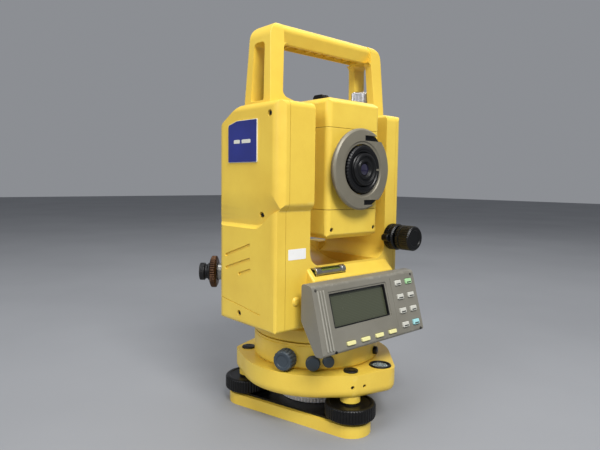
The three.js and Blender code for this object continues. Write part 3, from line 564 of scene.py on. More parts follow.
# a lighter copy of the panel grey for the display's side ridges: painted highlight, for the light that the
# raised ridges catch
RIDGE_HIGHLIGHT_GREY = panel_grey("panel_grey_ridges_painted_highlight", "96948a", "8b887d")
RING = grip_grey()
BLACK = black_plastic()
RUBBER = rubber_black()
SLATE = slate_plastic()
STEEL = metal("bright_steel", "b9b9b4", "96958f", 0.32, (1, 1, 0.05))
CHROME = metal("chrome", "e4e4e6", "cfd0d4", 0.12, (1, 1, 0.05))
HUB_STEEL_PAINTED_BRIGHT = hub_steel_painted_bright()
BRONZE = metal("bronze", "6b4f3c", "4e3a2c", 0.38, (1, 1, 0.2))
GLASS = clear_glass("optical_glass", "e4f0ee")
LIQUID = clear_glass("level_liquid", "c9dc6a", 0.02)
LENS = coated_lens()
LCD = lcd_screen()
BLUE = blue_plate()
PALE = pale_print()
STICKER = white_sticker()
BOARD = circuit_board()
SOFT_KEY = key_material("soft_key_cream", "e2dc9c")
WHITE_KEY = key_material("key_white", "c6c5bb")
GREEN_KEY = key_material("key_green", "a9d8a0")
CYAN_KEY = key_material("key_cyan", "9fd6d8")
DARK_BAR = key_material("key_bar_dark", "3b3d3a")

# the record's material slot that each material stands for, unless a piece names another
SLOTS = {
    YELLOW: "yellow_paint", GREY: "panel_grey", RIDGE_HIGHLIGHT_GREY: "panel_grey", RING: "grip_grey",
    BLACK: "black_plastic", RUBBER: "black_plastic", SLATE: "slate_plastic", STEEL: "bright_steel",
    CHROME: "bright_steel", HUB_STEEL_PAINTED_BRIGHT: "bright_steel", BRONZE: "bronze", GLASS: "optical_glass",
    LIQUID: "optical_glass", LENS: "black_plastic", LCD: "display_lcd", BLUE: "blue_plate",
    PALE: "blue_plate", STICKER: "key_white", SOFT_KEY: "key_white", WHITE_KEY: "key_white",
    GREEN_KEY: "key_white", CYAN_KEY: "key_white", DARK_BAR: "key_white",
}

# ---- small repeated parts


def screw_head(name, place, direction, body, radius):
    """A low domed screw with a cross recess."""
    head = turned([(0, -1.0), (radius, -1.0), (radius, 0.35, 0.3), (0, 0.75)], 32)
    arm, half = radius * 0.62, 0.22
    cut(head, block(-arm, arm, -half, half, 0.1, 2), block(-half, half, -arm, arm, 0.1, 2))
    placed(head, direction, place)
    finish(head, name, BLACK, body)


def screws(name, places, direction, body, inset, radius=1.7):
    """A row of screws, each sunk below its place."""
    for i, place in enumerate(places, 1):
        screw_head(f"{name}_{i}", place - direction * inset, direction, body, radius)


def screw_well(place, direction, radius=2.6, depth=2.0):
    """A cutting tool for the hollow that a screw sits in."""
    return placed(disc(radius, -depth, 3, 40), direction, place)


def foot_discs(radius, low, high, segments=48):
    """A disc about each foot screw."""
    return [placed(disc(radius, low, high, segments), origin=(f.x, f.y, 0)) for f in FEET]


def triangle(lobe, steps=14):
    """Three round lobes about the foot screws, joined by straight sides."""
    points = []
    for i, foot in enumerate(FEET):
        out = FOOT_TURN + i * 2 * math.pi / 3
        for k in range(steps + 1):
            angle = out + math.pi / 3 * (2 * k / steps - 1)
            points.append(Vector((foot.x + lobe * math.cos(angle), foot.y + lobe * math.sin(angle))))
    return points


# ---- tribrach


def base_plate():
    low, high = span("base_plate")
    socket_floor = 5.6
    plate = prism(triangle(17.5), "z", low.z, high.z)
    hole = disc(HUB_HOLE, low.z - 1, high.z + 1)
    cut(plate, hole, *foot_discs(FOOT_HOLE, socket_floor, high.z + 1))
    bevelled(plate, 1.3, 4)
    finish(plate, "base_plate_cast", YELLOW, "tribrach", ["base_plate"])


def tripod_hub():
    low, high = span("tripod_hub")
    radius, neck, bore = high.x, 16.6, 7.94
    step = low.z + 10.3
    hub = knurled([
        (bore, low.z, 0.6), (neck, low.z, 0.4), (neck, step), (radius, step, 0.8),
        (radius, step + 3.2, 0.4), (radius - 1.2, step + 3.8), (radius - 1.2, step + 4.4),
        (radius, step + 5, 0.4), (radius, high.z, 0.9), (bore, high.z, 0.6),
    ], 72, 1.0, radius - 0.6, steps=3)
    finish(hub, "tripod_hub_knurled", HUB_STEEL_PAINTED_BRIGHT, "tribrach", ["tripod_hub"], KNURL_SHARP)


def spring_plate():
    low, high = span("spring_plate")
    plate = prism(triangle(14), "z", low.z, high.z)
    hole = disc(HUB_HOLE, low.z - 1, high.z + 1)
    cut(plate, hole, *foot_discs(FOOT_HOLE, low.z - 1, high.z + 1, 40))
    bevelled(plate, 0.4, 2)
    finish(plate, "spring_plate_pressed", RUBBER, "tribrach", ["spring_plate"])


def foot_screws():
    for i, foot in enumerate(FEET, 1):
        low, high = span(f"foot_screw_{i}")
        radius = (high.x - low.x) / 2
        base, top = 12.6, 24.6
        shaft = [(0, low.z), (3.4, low.z, 1.4), (4.6, 8.2, 0.6), (4.6, base)]
        knob = [
            (radius - 4, base, 0.5), (radius, base, 2.0), (radius, top, 2.2), (radius - 3.5, top, 0.5),
            (radius - 4.5, top - 1, 0.5), (8.8, top - 1, 0.5), (7.6, top),
        ]
        stem = [(5, top), (5, high.z), (0, high.z)]
        screw = knurled(shaft + knob + stem, 52, 0.6, radius - 1.3, base + 1, top - 1)
        placed(screw, origin=(foot.x, foot.y, 0))
        finish(screw, f"foot_screw_knob_{i}", RUBBER, f"foot_screw_{i}", [f"foot_screw_{i}"], KNURL_SHARP)


def tribrach_body():
    low, high = 30, 50
    level_low, level_high = span("circular_level_housing")
    level = (level_low + level_high) / 2
    circles = [(0, 0, 69), (level.x, level.y, 12.5)] + [(f.x, f.y, 11) for f in FEET]
    steps = ((low, 4.5), (low + 0.8, 2.6), (low + 2.2, 1.2), (low + 4.4, 0.3), (low + 7, 0), (high, 0))
    body = loft([[(p.x, p.y, z) for p in band_round(circles, inset)] for z, inset in steps])
    join(body, *foot_discs(8.5, 25.3, low + 3, 64))
    bores = foot_discs(FOOT_HOLE, 24, high + 1)
    recess = placed(disc(9.7, high - 5, high + 1, 72), origin=(level.x, level.y, 0))
    front = FEET[1]
    out = Vector((front.x, front.y, 0)).normalized()
    across = Vector((-out.y, out.x, 0))
    pins = [out * 74.2 + across * shift + Vector((0, 0, 40)) for shift in (-4, 7)]
    wells = [screw_well(pin, out, 1.5, 2.4) for pin in pins]
    middle = disc(40, low - 1, high + 1, 160)
    cut(body, middle, recess, *bores, *wells)
    bevelled(body, 1.2, 3, 50)
    finish(body, "tribrach_cast", YELLOW, "tribrach", ["tribrach_body"])
    screws("tribrach_grub", pins, out, "tribrach", 1.6, 1.2)


def dust_caps():
    radius, low = 6.1, 47.5
    for i, foot in enumerate(FEET, 1):
        cap = turned([
            (0, low), (radius, low), (radius, low + 3.9, 0.8), (3.5, low + 4.5, 0.5), (2.6, low + 4.1),
            (0, low + 4.1),
        ], 64)
        placed(cap, origin=(foot.x, foot.y, 0))
        finish(cap, f"foot_screw_dust_cap_{i}", BLACK, "tribrach")


def circular_level():
    low, high = span("circular_level_housing")
    centre = (low + high) / 2
    at = (centre.x, centre.y, 0)
    radius = (high.x - low.x) / 2
    ring = turned([
        (0, low.z), (radius, low.z, 0.4), (radius, high.z, 0.7), (radius - 1.9, high.z, 0.5),
        (radius - 2.6, low.z + 1.4), (0, low.z + 1.4),
    ], 96)
    placed(ring, origin=at)
    finish(ring, "circular_level_ring", BLACK, "tribrach", ["circular_level_housing"])
    dial = low.z + 3.4
    mirror = turned([(0, low.z + 1.6), (6.6, low.z + 1.6), (6.6, dial, 0.2), (0, dial)], 72)
    finish(placed(mirror, origin=at), "circular_level_dial", CHROME, "tribrach")
    dome = turned([(0, dial + 0.1), (6.9, dial + 0.1), (6.9, high.z - 0.9, 0.6), (0, high.z - 0.3)], 72)
    placed(dome, origin=at)
    finish(dome, "circular_level_glass", GLASS, "tribrach", ["circular_level_vial"])
    mark = turned([(2.6, dial + 0.02), (3.0, dial + 0.02), (3.0, dial + 0.2), (2.6, dial + 0.2)], 48)
    finish(placed(mark, origin=at), "circular_level_mark", BLACK, "tribrach")


# ---- instrument base


def base_drum():
    low, high = span("base_drum")
    radius, bore, shelf = high.x, 34, 58
    drum = turned([
        (bore, low.z), (radius - 1.5, low.z, 0.5), (radius, low.z + 1.8, 0.8), (radius, high.z - 2.2, 0.5),
        (radius - 0.9, high.z - 1.2, 0.3), (radius - 0.9, high.z, 0.3), (radius - 5, high.z),
        (radius - 5, shelf), (bore, shelf),
    ], 160)
    finish(drum, "base_drum_cast", YELLOW, "instrument_base", ["base_drum"])


def drum_plug():
    """A small black plug low on the drum, below the display."""
    angle, reach, height = math.radians(-67.6), 57, 58
    plug = turned([(0, -1), (3.6, -1), (3.6, 2.6, 0.6), (2.2, 3.4, 0.5), (0, 3.4)], 48)
    out = Vector((math.cos(angle), math.sin(angle), 0))
    placed(plug, out, out * reach + Vector((0, 0, height)))
    finish(plug, "base_drum_plug", BLACK, "instrument_base")


def lock_knob():
    radius, start, end = 8.8, 57.5, 69.2
    knob = knurled([
        (0, start), (5, start), (5, start + 1.4), (radius, start + 1.4, 0.8), (radius, end - 1.6, 0.8),
        (7.6, end, 1.0), (5.4, end, 0.3), (5.0, end - 0.7, 0.3), (0, end - 0.7),
    ], 16, 0.9, 8.0, start + 2, end - 1.2, points=8)
    point, direction = joint_place("lock_turn")
    placed(knob, direction, (0, 0, point.z))
    finish(knob, "lock_knob_fluted", SLATE, "lock_knob", ["tribrach_lock_knob"])


def port_caps():
    start = 57.4
    for port, radius, height in (("serial", 6.2, 57), ("power", 4.9, 58.5)):
        cap = turned([
            (0, start), (radius, start, 0.3), (radius, start + 2.0, 0.3), (radius - 0.7, start + 2.4, 0.2),
            (radius - 0.7, start + 3.0, 0.2), (radius - 0.2, start + 3.4, 0.3),
            (radius - 0.5, start + 5.0, 0.9), (0, start + 5.5),
        ], 72)
        placed(cap, joint_place(f"{port}_cap_pull")[1], (0, 0, height))
        finish(cap, f"{port}_port_cap_moulded", SLATE, f"{port}_cap", [f"{port}_port_cap"])


# ---- alidade


def left_outline():
    return smooth_path([
        (LOWER_FRONT, BOTTOM, 3), (LOWER_BACK, BOTTOM, 5), (LOWER_BACK, SIDE_LEDGE, 3),
        (UPPER_BACK, SIDE_LEDGE + 6, 3), (UPPER_BACK, 251, 8), (8, TOP, 8),
        (UPPER_FRONT, TOP, 5), (UPPER_FRONT, LEDGE_HIGH, 5), (LOWER_FRONT, LEDGE_LOW, 2),
    ])


def right_outline():
    return smooth_path([
        (LOWER_FRONT, BOTTOM, 3), (LOWER_BACK, BOTTOM, 5), (LOWER_BACK, 254, 10), (18, TOP, 10),
        (LOWER_FRONT, TOP, 6),
    ])


def side_cover_form(outline, outer, seam, front, back):
    """A side cover's outer form, with round outer corners seen from above and from the front."""
    side = math.copysign(1, outer)
    form = prism(outline, "x", min(outer, seam), max(outer, seam))
    inner = seam - side
    plan = smooth_path([
        (inner, front - 1), (outer, front, COVER_CORNER), (outer, back, COVER_CORNER), (inner, back + 1),
    ], steps=10)
    face = smooth_path([
        (inner, BOTTOM - 1), (outer, BOTTOM, 4), (outer, TOP, TOP_CORNER), (inner, TOP + 0.01),
    ], steps=8)
    return common(form, prism(plan, "z", BOTTOM - 2, TOP + 2), prism(face, "y", front - 2, back + 2))


def ledge_cutter(outer):
    """Hollows the upper block's side inwards, down to a ledge that rises at its front end."""
    outline = [(outer + 3.4 * t * t, LEDGE_TOP - 28 * t) for t in (0, 0.2, 0.4, 0.6, 0.8, 1)]
    outline += [
        (outer + 2.6, SIDE_LEDGE + 0.6), (outer - 0.6, SIDE_LEDGE - 1.4), (outer - 3, SIDE_LEDGE - 1.4),
        (outer - 3, LEDGE_TOP),
    ]
    rise_start, rise_length = -42, 28
    sections = []
    for y in (-50, -42, -38, -34, -30, -26, -22, -18, -14, 50):
        share = min(max((y - rise_start) / rise_length, 0), 1)
        lift = (LEDGE_LOW - SIDE_LEDGE) * (0.5 + 0.5 * math.cos(math.pi * share))
        lean = lift / (LEDGE_TOP - SIDE_LEDGE)
        sections.append([(x, y, z + lean * (LEDGE_TOP - z)) for x, z in outline])
    return loft(sections)


def groove_on_side(outer, start, end, width, depth):
    """A round-ended groove in the side plane, between two places (y, z)."""
    run = Vector(end) - Vector(start)
    outline = rectangle(0, run.length, -width / 2, width / 2, width * 0.45)
    groove = prism(outline, "x", outer - 1, outer + depth)
    turn = Matrix.Rotation(math.atan2(run.y, run.x), 4, "X")
    groove.data.transform(Matrix.Translation((0, *start)) @ turn)
    return groove


def left_side_cover():
    outer = LEFT_LOW.x
    seam = LEFT_HIGH.x
    cover = side_cover_form(left_outline(), outer, seam, UPPER_FRONT, UPPER_BACK)
    slants = (((-8.5, 155.6), (27, 143.5)), ((-8.6, 144.1), (27, 132.5)), ((-9.5, 135.3), (8, 129.5)))
    grooves = [groove_on_side(outer, start, end, 2.6, 1.3) for start, end in slants]
    seam_line = groove_on_side(outer, (-22, 100.4), (40, 107.5), 0.9, 0.7)
    left = Vector((-1, 0, 0))
    spots = [Vector((outer, -33, 259)), Vector((outer + 1.5, -21.5, 180.6)), Vector((outer, 6.5, 96.6))]
    wells = [screw_well(spot, left) for spot in spots]
    cavity = block(outer + 5, seam + 1, -34, 31, 106, 249)
    cut(cover, ledge_cutter(outer), seam_line, *grooves, *wells, cavity)
    bevelled(cover, 0.7, 3)
    finish(cover, "left_side_cover_shell", YELLOW, "alidade", ["left_side_cover"])
    screws("left_cover_screw", spots, left, "alidade", 1.2)


def name_plate():
    low, high = span("name_plate")
    def outline(margin):
        return smooth_path([
            (low.y + margin, low.z + margin, 1), (high.y - margin, low.z + margin, 1),
            (high.y - margin, high.z - 3 - margin * 0.8, 2), (high.y - 12.5, high.z - margin, 3),
            (low.y + margin, high.z - margin, 1),
        ])
    rim = bevelled(prism(outline(0), "x", low.x + 0.25, high.x + 0.4), 0.2, 2)
    finish(rim, "name_plate_rim", PALE, "alidade", ["name_plate"])
    panel = bevelled(prism(outline(0.4), "x", low.x, high.x), 0.15, 2)
    finish(panel, "name_plate_panel", BLUE, "alidade")
    middle = (low.z + high.z) / 2
    for i, (start, end) in enumerate(((-10, 2), (4.5, 13)), 1):
        bar = rectangle(start, end, middle - 1.5, middle + 1.5, 0.8)
        bar = bevelled(prism(bar, "x", low.x - 0.08, low.x + 0.2), 0.05, 1)
        finish(bar, f"name_plate_bar_{i}", PALE, "alidade")


def swing_room():
    """The room that the telescope's ends sweep as it turns over."""
    return placed(disc(SWING, -SCOPE_X - 4, SCOPE_X + 4, 160), (1, 0, 0), (0, 0, TILT.z))


def vial_room():
    """The groove that the plate level lies in."""
    low, high = span("plate_level_housing")
    middle = (low + high) / 2
    radius = (high.z - low.z) / 2 + 0.4
    return placed(disc(radius, low.x - 1, high.x + 1, 40), (1, 0, 0), (0, middle.y, middle.z))


def frame_casting():
    """The yoke and the two standards, one casting with a fillet where each standard stands on the yoke."""
    u_shape = smooth_path([
        (CAST_LEFT, BOTTOM), (CAST_RIGHT, BOTTOM), (CAST_RIGHT, TOP), (INNER_X, TOP, 3),
        (INNER_X, YOKE_TOP, 12), (-INNER_X, YOKE_TOP, 12), (-INNER_X, TOP, 3), (CAST_LEFT, TOP),
    ], steps=8)
    casting = prism(u_shape, "y", LOWER_FRONT, LOWER_BACK)
    casting = common(casting, prism(right_outline(), "x", CAST_LEFT - 1, CAST_RIGHT + 1))
    upper = common(
        prism(left_outline(), "x", CAST_LEFT, -INNER_X),
        block(CAST_LEFT - 1, 0, -60, 60, SIDE_LEDGE, TOP + 5),
    )
    join(casting, upper)
    bevelled(casting, 1.2, 3)
    plummet = placed(disc(8.2, 30, 120, 48), joint_place("plummet_eye_turn")[1], (0, 0, 123))
    bore = placed(disc(14.6, -60, 60, 96), (1, 0, 0), (0, 0, TILT.z))
    cut(casting, swing_room(), vial_room(), plummet, bore)
    finish(casting, "alidade_casting", YELLOW, "alidade", ["alidade_frame"])


def turntable():
    radius, bore = 57, 20.4
    low, top, shoulder = 72.6, 89, 86
    table = turned([
        (bore, low), (radius - 1.2, low, 0.3), (radius, low + 1.2, 0.6), (radius, shoulder - 2.5, 2),
        (radius - 3, shoulder, 2), (50, shoulder, 1), (48, top), (bore, top),
    ], 160, steps=5)
    finish(table, "turntable", YELLOW, "alidade")


def console_block():
    low = 92
    support = prism(smooth_path([
        (LOWER_FRONT + 1, low), (LOWER_FRONT + 1, YOKE_TOP - 0.5), (-49.6, 128, 3), (-49.6, low + 10, 3),
    ]), "x", -50, 50)
    bevelled(support, 1.5, 3)
    cut(support, vial_room())
    finish(support, "console_support", YELLOW, "alidade")


def rear_block():
    """Closes the yoke behind the telescope, with the telescope's swing cut out of it."""
    high = FRAME_HIGH.y
    outline = smooth_path([(LOWER_BACK - 1, 92), (high, 92, 4), (high, 147, 3), (LOWER_BACK - 1, 147)])
    rear = prism(outline, "x", -52, 52)
    bevelled(rear, 1.5, 3)
    cut(rear, swing_room())
    finish(rear, "rear_block", YELLOW, "alidade")


def front_trim():
    """The plain sticker and the small round bump on the front of the left standard."""
    sticker = prism(rectangle(-70, -51.5, 145.5, 154, 0.5), "y", LOWER_FRONT - 0.12, LOWER_FRONT + 0.1)
    finish(sticker, "front_sticker", STICKER, "alidade")
    bump = turned([(0, -1), (4, -1), (4, 0.1, 0.4), (2.4, 1.3, 1.2), (0, 1.6)], 48)
    placed(bump, (0, -1, 0), (-61.5, LOWER_FRONT, 111.5))
    finish(bump, "front_blind_plug", YELLOW, "alidade")


def right_side_cover():
    outer = RIGHT_HIGH.x
    seam = RIGHT_LOW.x
    cover = side_cover_form(right_outline(), outer, seam, LOWER_FRONT, LOWER_BACK)
    right = Vector((1, 0, 0))
    spots = [Vector((outer, y, z)) for y, z in ((-33, 256), (-33, 120), (28, 96), (-33, 185))]
    wells = [screw_well(spot, right) for spot in spots]
    seam_line = block(outer - 0.6, outer + 1, -60, 60, 129.6, 130.4)
    cut(cover, seam_line, *wells)
    bevelled(cover, 0.7, 3)
    finish(cover, "right_side_cover_shell", YELLOW, "alidade", ["right_side_cover"])
    screws("right_cover_screw", spots, right, "alidade", 1.2)


def battery_pack():
    low, high = span("battery")
    outline = rectangle(low.y, high.y, low.z, high.z, 7, 8)
    pack = prism(outline, "x", low.x, high.x)
    latch_room = block(high.x - 5, high.x + 1, -0.3, 16.3, high.z - 16, high.z + 1)
    grooves = [
        block(high.x - 0.9, high.x + 1, low.y + 8, high.y - 8, z - 1.1, z + 1.1) for z in range(152, 201, 8)
    ]
    sides = ((low.y - 1, low.y + 0.5), (high.y - 0.5, high.y + 1))
    split = merged([block(low.x + 3.6, low.x + 4.2, *side, low.z - 1, high.z + 1) for side in sides])
    bevelled(pack, 3.0, 5)
    cut(pack, latch_room, split, *grooves)
    bevelled(pack, 0.4, 2)
    finish(pack, "battery_pack", YELLOW, "battery", ["battery"])


def battery_catch():
    low, high = span("battery_latch")
    catch = block(low.x, high.x, low.y, high.y, low.z, high.z)
    heights = [low.z + rise for rise in (2.5, 4.7, 6.9)]
    grooves = [block(high.x - 0.8, high.x + 1, low.y - 1, high.y + 1, z - 0.5, z + 0.5) for z in heights]
    cut(catch, *grooves)
    bevelled(catch, 0.5, 3)
    finish(catch, "battery_catch", BLACK, "latch", ["battery_latch"])


def plate_level():
    low, high = span("plate_level_housing")
    middle = (low + high) / 2
    radius = (high.z - low.z) / 2
    length = high.x - low.x
    wall, cuff = 1.8, 4
    tube = turned([
        (radius - wall, 0), (radius, 0, 0.5), (radius, cuff, 0.3), (radius - 0.4, cuff + 0.4),
        (radius - 0.4, length - cuff - 0.4), (radius, length - cuff, 0.3), (radius, length, 0.5),
        (radius - wall, length),
    ], 64)
    placed(tube, (1, 0, 0), (low.x, middle.y, middle.z))
    window = block(low.x + 6, high.x - 6, -1.9, 1.9, 0, 8)
    tilt = Matrix.Rotation(math.radians(38), 4, "X")
    window.data.transform(Matrix.Translation((0, middle.y, middle.z)) @ tilt)
    cut(tube, window)
    finish(tube, "plate_level_tube", STEEL, "alidade", ["plate_level_housing"])
    start, end = 1.5, length - 1.5
    vial = turned([(0, start), (radius - 2, start, 0.8), (radius - 2, end, 0.8), (0, end)], 48)
    placed(vial, (1, 0, 0), (low.x, middle.y, middle.z))
    finish(vial, "plate_level_glass", LIQUID, "alidade", ["plate_level_vial"])


# ---- display unit

SCREEN = (-46, 22, 20, 47.3)  # left, right, bottom and top


def screen_panel(margin, radius, back, front):
    """A block on the display's face as large as the screen, or larger by a margin."""
    left, right, bottom, top = SCREEN
    return face_panel(left - margin, right + margin, bottom - margin, top + margin, radius, back, front)


def key_panel(key, margin, back, front):
    """A block on the display's face as large as a key, or larger by a margin."""
    _, u, v, width, height = key
    w, h = width / 2 + margin, height / 2 + margin
    return face_panel(u - w, u + w, v - h, v + h, 0.9, back, front)


def display_housing():
    low, high = span("display_housing")
    profile = smooth_path([
        (low.y, FACE_ORIGIN.z, 2.5), (low.y + 9, FACE_ORIGIN.z - 0.5, 2), (high.y, FACE_ORIGIN.z + 24, 4),
        (high.y, high.z, 3), (-61, 126.9, 3),
    ])
    housing = prism(profile, "x", low.x, high.x)
    common(housing, face_panel(low.x, high.x, -6, FACE_LENGTH + 8, 5, -40, 6, 8))
    opening = screen_panel(0, 1.0, -5, 3)
    lip = screen_panel(1.6, 1.6, -0.9, 3)
    divider = face_panel(29.2, 30.0, 5, FACE_LENGTH - 4, 0.3, -0.5, 3)
    wells = [key_panel(key, GAP, -3.4, 3) for key in keys()]
    cut(housing, opening, lip, divider, *wells)
    bevelled(housing, 0.8, 3)
    finish(housing, "display_housing_moulded", GREY, "alidade", ["display_housing"])
    ribs = [face_panel(u - 0.7, u + 0.7, 4, FACE_LENGTH - 4, 0.6, -0.5, 0.7) for u in (-58.2, -55.2, -52.2)]
    ribs = merged([bevelled(rib, 0.4, 3) for rib in ribs])
    # the ridges take the lighter grey: painted highlight on the same grey plastic as the housing
    finish(ribs, "display_side_ridges", RIDGE_HIGHLIGHT_GREY, "alidade")
    corners = ((-60.085, 51.5), (-49.447, 2.2), (59.593, 51.5), (59.593, 2.4))
    places = [FACE_ORIGIN + Vector((u, 0, 0)) + FACE_UP * v for u, v in corners]
    screws("display_screw", places, FACE_OUT, "alidade", 0.3, 1.2)


def display_window():
    """The screen, sunk in its opening, and the bezel round it."""
    pane = bevelled(screen_panel(-GAP, 0.8, -4.7, -3.2), 0.15, 2)
    finish(pane, "display_screen", LCD, "alidade", ["display_window"])
    bezel = screen_panel(-0.02, 1.0, -3.2, -1.0)
    inside = screen_panel(-1.0, 0.8, -5, 3)
    bevelled(cut(bezel, inside), 0.2, 2)
    finish(bezel, "display_bezel", BLACK, "alidade")


def keys():
    """Name, place on the face and size of every key."""
    soft = [(f"soft_key_{i + 1}", -32 + 17.3 * i, 6.3, 9.4, 3.2) for i in range(4)]
    places = [(39 + 15 * column, 46 - 12.3 * row) for row in range(4) for column in range(2)]
    return soft + [(f"keypad_key_{i}", *place, 8, 4.6) for i, place in enumerate(places, 1)]


def key_caps():
    for key in keys():
        name, u, v, width, height = key
        cap = bevelled(key_panel(key, 0, -2, 1.2), 0.4, 3)
        plain = SOFT_KEY if name.startswith("soft") else WHITE_KEY
        material = {"keypad_key_2": GREEN_KEY, "keypad_key_8": CYAN_KEY}.get(name, plain)
        finish(cap, f"{name}_cap", material, name, [name])
        if name.startswith("soft"):
            continue
        reach, foot = width / 2 - 1, v - height / 2
        bar = face_panel(u - reach, u + reach, foot + 0.7, foot + 1.8, 0.3, 1.0, 1.28)
        finish(bar, f"{name}_bar", DARK_BAR, name)


# ---- plummet and motion knobs


def plummet():
    point, direction = joint_place("plummet_eye_turn")
    at = (0, 0, point.z)
    radius = 8
    tip = (-span("plummet_eyepiece")[0].x - radius * direction.y) / -direction.x
    start = tip - 16.5
    ring = knurled([
        (8.3, start), (12, start, 0.4), (14.6, start + 1.2, 0.8), (14.6, start + 5.3, 0.8),
        (12, start + 6.5, 0.4), (8.3, start + 6.5),
    ], 40, 0.8, 13.5)
    placed(ring, direction, at)
    finish(ring, "plummet_ring_knurled", BRONZE, "plummet_ring", ["plummet_focusing_ring"], KNURL_SHARP)
    eye = knurled([
        (0, start + 1), (radius, start + 1), (radius, start + 8.5, 0.5), (6.6, start + 9.3, 0.4),
        (6.6, start + 11, 0.4), (radius, start + 12, 0.6), (radius, tip, 0.8), (4.4, tip - 0.4, 0.5),
        (3.2, tip - 2.2), (0, tip - 2.2),
    ], 32, 0.45, 7.6, start + 12.4, tip - 0.8)
    placed(eye, direction, at)
    finish(eye, "plummet_eyepiece_ribbed", BLACK, "plummet_eye", ["plummet_eyepiece"], KNURL_SHARP)
    lens = turned([(0, tip - 2.3), (3.1, tip - 2.3), (2.8, tip - 1.8), (0, tip - 1.3)], 32)
    finish(placed(lens, direction, at), "plummet_eye_lens", LENS, "plummet_eye")
    root, neck = 22, start - GAP
    tube = turned([(5.5, root), (7.5, root), (7.5, neck, 0.4), (5.5, neck)], 64)
    finish(placed(tube, direction, at), "plummet_neck", STEEL, "alidade", ["plummet_tube"])


def drive_knob(name, start, end, ring_at=0.5):
    """A ribbed clamp or tangent knob with a groove round it, from start to end along its axis."""
    point, direction = joint_place(f"{name}_turn")
    low, high = span(f"{name}_knob")
    radius = (high.z - low.z) / 2
    base = point - direction * point.dot(direction)
    groove = start + 2 + (end - start - 2) * ring_at
    knob = knurled([
        (0, start), (6, start), (6, start + 1.8), (radius - 0.6, start + 1.8, 0.3),
        (radius, start + 2.6, 0.4), (radius, groove - 0.6, 0.2), (radius - 0.9, groove - 0.3),
        (radius - 0.9, groove + 0.3), (radius, groove + 0.6, 0.2), (radius, end - 1.4, 0.5),
        (radius - 1.4, end, 0.6), (radius - 3.4, end, 0.4), (radius - 4.2, end - 0.8, 0.3), (0, end - 0.8),
    ], 36, 0.5, radius - 0.3)
    placed(knob, direction, base)
    finish(knob, f"{name}_ribbed", RUBBER, name, [f"{name}_knob"], KNURL_SHARP)


def motion_knobs():
    for name, ring_at in (("vertical_clamp", 0.5), ("vertical_tangent", 0.25)):
        low, high = span(f"{name}_knob")
        drive_knob(name, -high.y, -low.y, ring_at)
    low, high = span("vertical_clamp_knob")
    middle = joint_place("vertical_clamp_turn")[0]
    root = middle.x - 9
    lever = prism(smooth_path([
        (root, middle.z - 4.5), (low.x, middle.z - 2.4, 2.2), (low.x, middle.z + 2.4, 2.2),
        (root, middle.z + 4.5),
    ]), "y", low.y + 2, high.y - 3)
    finish(bevelled(lever, 0.9, 3), "vertical_clamp_lever", RUBBER, "vertical_clamp")
    for name in ("horizontal_clamp", "horizontal_tangent"):
        low, high = span(f"{name}_knob")
        drive_knob(name, low.x, high.x)


# ---- handle

HANDLE_SCREWS = {"left": -54, "right": 54}


def mirrored(corners):
    """The other half of a symmetrical outline."""
    return [(-c[0], *c[1:]) for c in reversed(corners)]


def carrying_handle():
    low, high = span("carrying_handle")
    foot_x, top_x, leg = high.x, 67.2, 13.6
    inner_foot, inner_top = foot_x - leg, top_x - leg
    toe = inner_foot - 12
    bar_low = high.z - 16
    half = [(toe, low.z), (foot_x, low.z), (top_x, high.z, 13)]
    inside = [(inner_top, bar_low, 5), (inner_foot, low.z + 7.5, 6), (toe, low.z + 4.5, 1)]
    front = prism(smooth_path(half + mirrored(half) + mirrored(inside) + inside, steps=10), "y", -30, 30)
    side = prism(smooth_path([
        (low.y, low.z), (high.y, low.z), (13.2, high.z, 7), (-13.2, high.z, 7),
    ], steps=8), "x", -90, 90)
    handle = common(front, side)
    bevelled(handle, 3.6, 5, 40)
    surround = block(-inner_top, inner_top, -25, 25, bar_low, high.z + 1)
    bar_half = [(8.2, bar_low, 1.6), (12.9, high.z - 5.2, 4), (8.6, high.z, 4)]
    bar = smooth_path(bar_half + mirrored(bar_half), steps=10)
    cut(surround, prism(bar, "x", -inner_top - 1, inner_top + 1))
    floor, top = low.z + 3.3, 320
    slot = smooth_path([(-8.6, floor, 1.5), (8.6, floor, 1.5), (7, top, 4), (-7, top, 4)], steps=8)
    slots = [prism(slot, "x", 45, 80), prism(slot, "x", -80, -45)]
    hollow = block(-45.01, 45.01, -6, 6, floor, high.z - 9)
    holes = [placed(disc(4.4, low.z - 1, 290, 48), origin=(x, 0, 0)) for x in HANDLE_SCREWS.values()]
    cut(handle, surround, hollow, *slots, *holes)
    bevelled(handle, 0.8, 3)
    finish(handle, "carrying_handle_moulded", YELLOW, "handle", ["carrying_handle"])
    ribs = [block(x - 0.9, x + 0.9, -6.5, 6.5, bar_low + 1.5, high.z - 8) for x in range(-36, 37, 12)]
    ribs = merged([bevelled(rib, 0.3, 2) for rib in ribs])
    finish(ribs, "carrying_handle_ribs", YELLOW, "handle")


def handle_screws():
    radius, neck = 7.6, 6.2
    for side, x in HANDLE_SCREWS.items():
        node = f"{side}_handle_screw"
        low, high = span(node)
        seat = low.z + 3.4
        screw = knurled([
            (0, low.z), (3.9, low.z, 0.5), (3.9, seat), (radius, seat, 0.6), (radius, seat + 4, 0.5),
            (neck, seat + 4.8, 0.4), (neck, seat + 6.2, 0.4), (radius, seat + 7, 0.5),
            (radius, high.z - 1.2, 0.6), (neck, high.z, 0.6), (2.4, high.z, 0.3), (2.1, high.z - 1.6),
            (0, high.z - 1.6),
        ], 34, 0.6, radius - 0.4)
        placed(screw, origin=(x, 0, 0))
        finish(screw, f"{node}_knurled", CHROME, f"handle_screw_{side}", [node], KNURL_SHARP, "chrome")


# ---- telescope


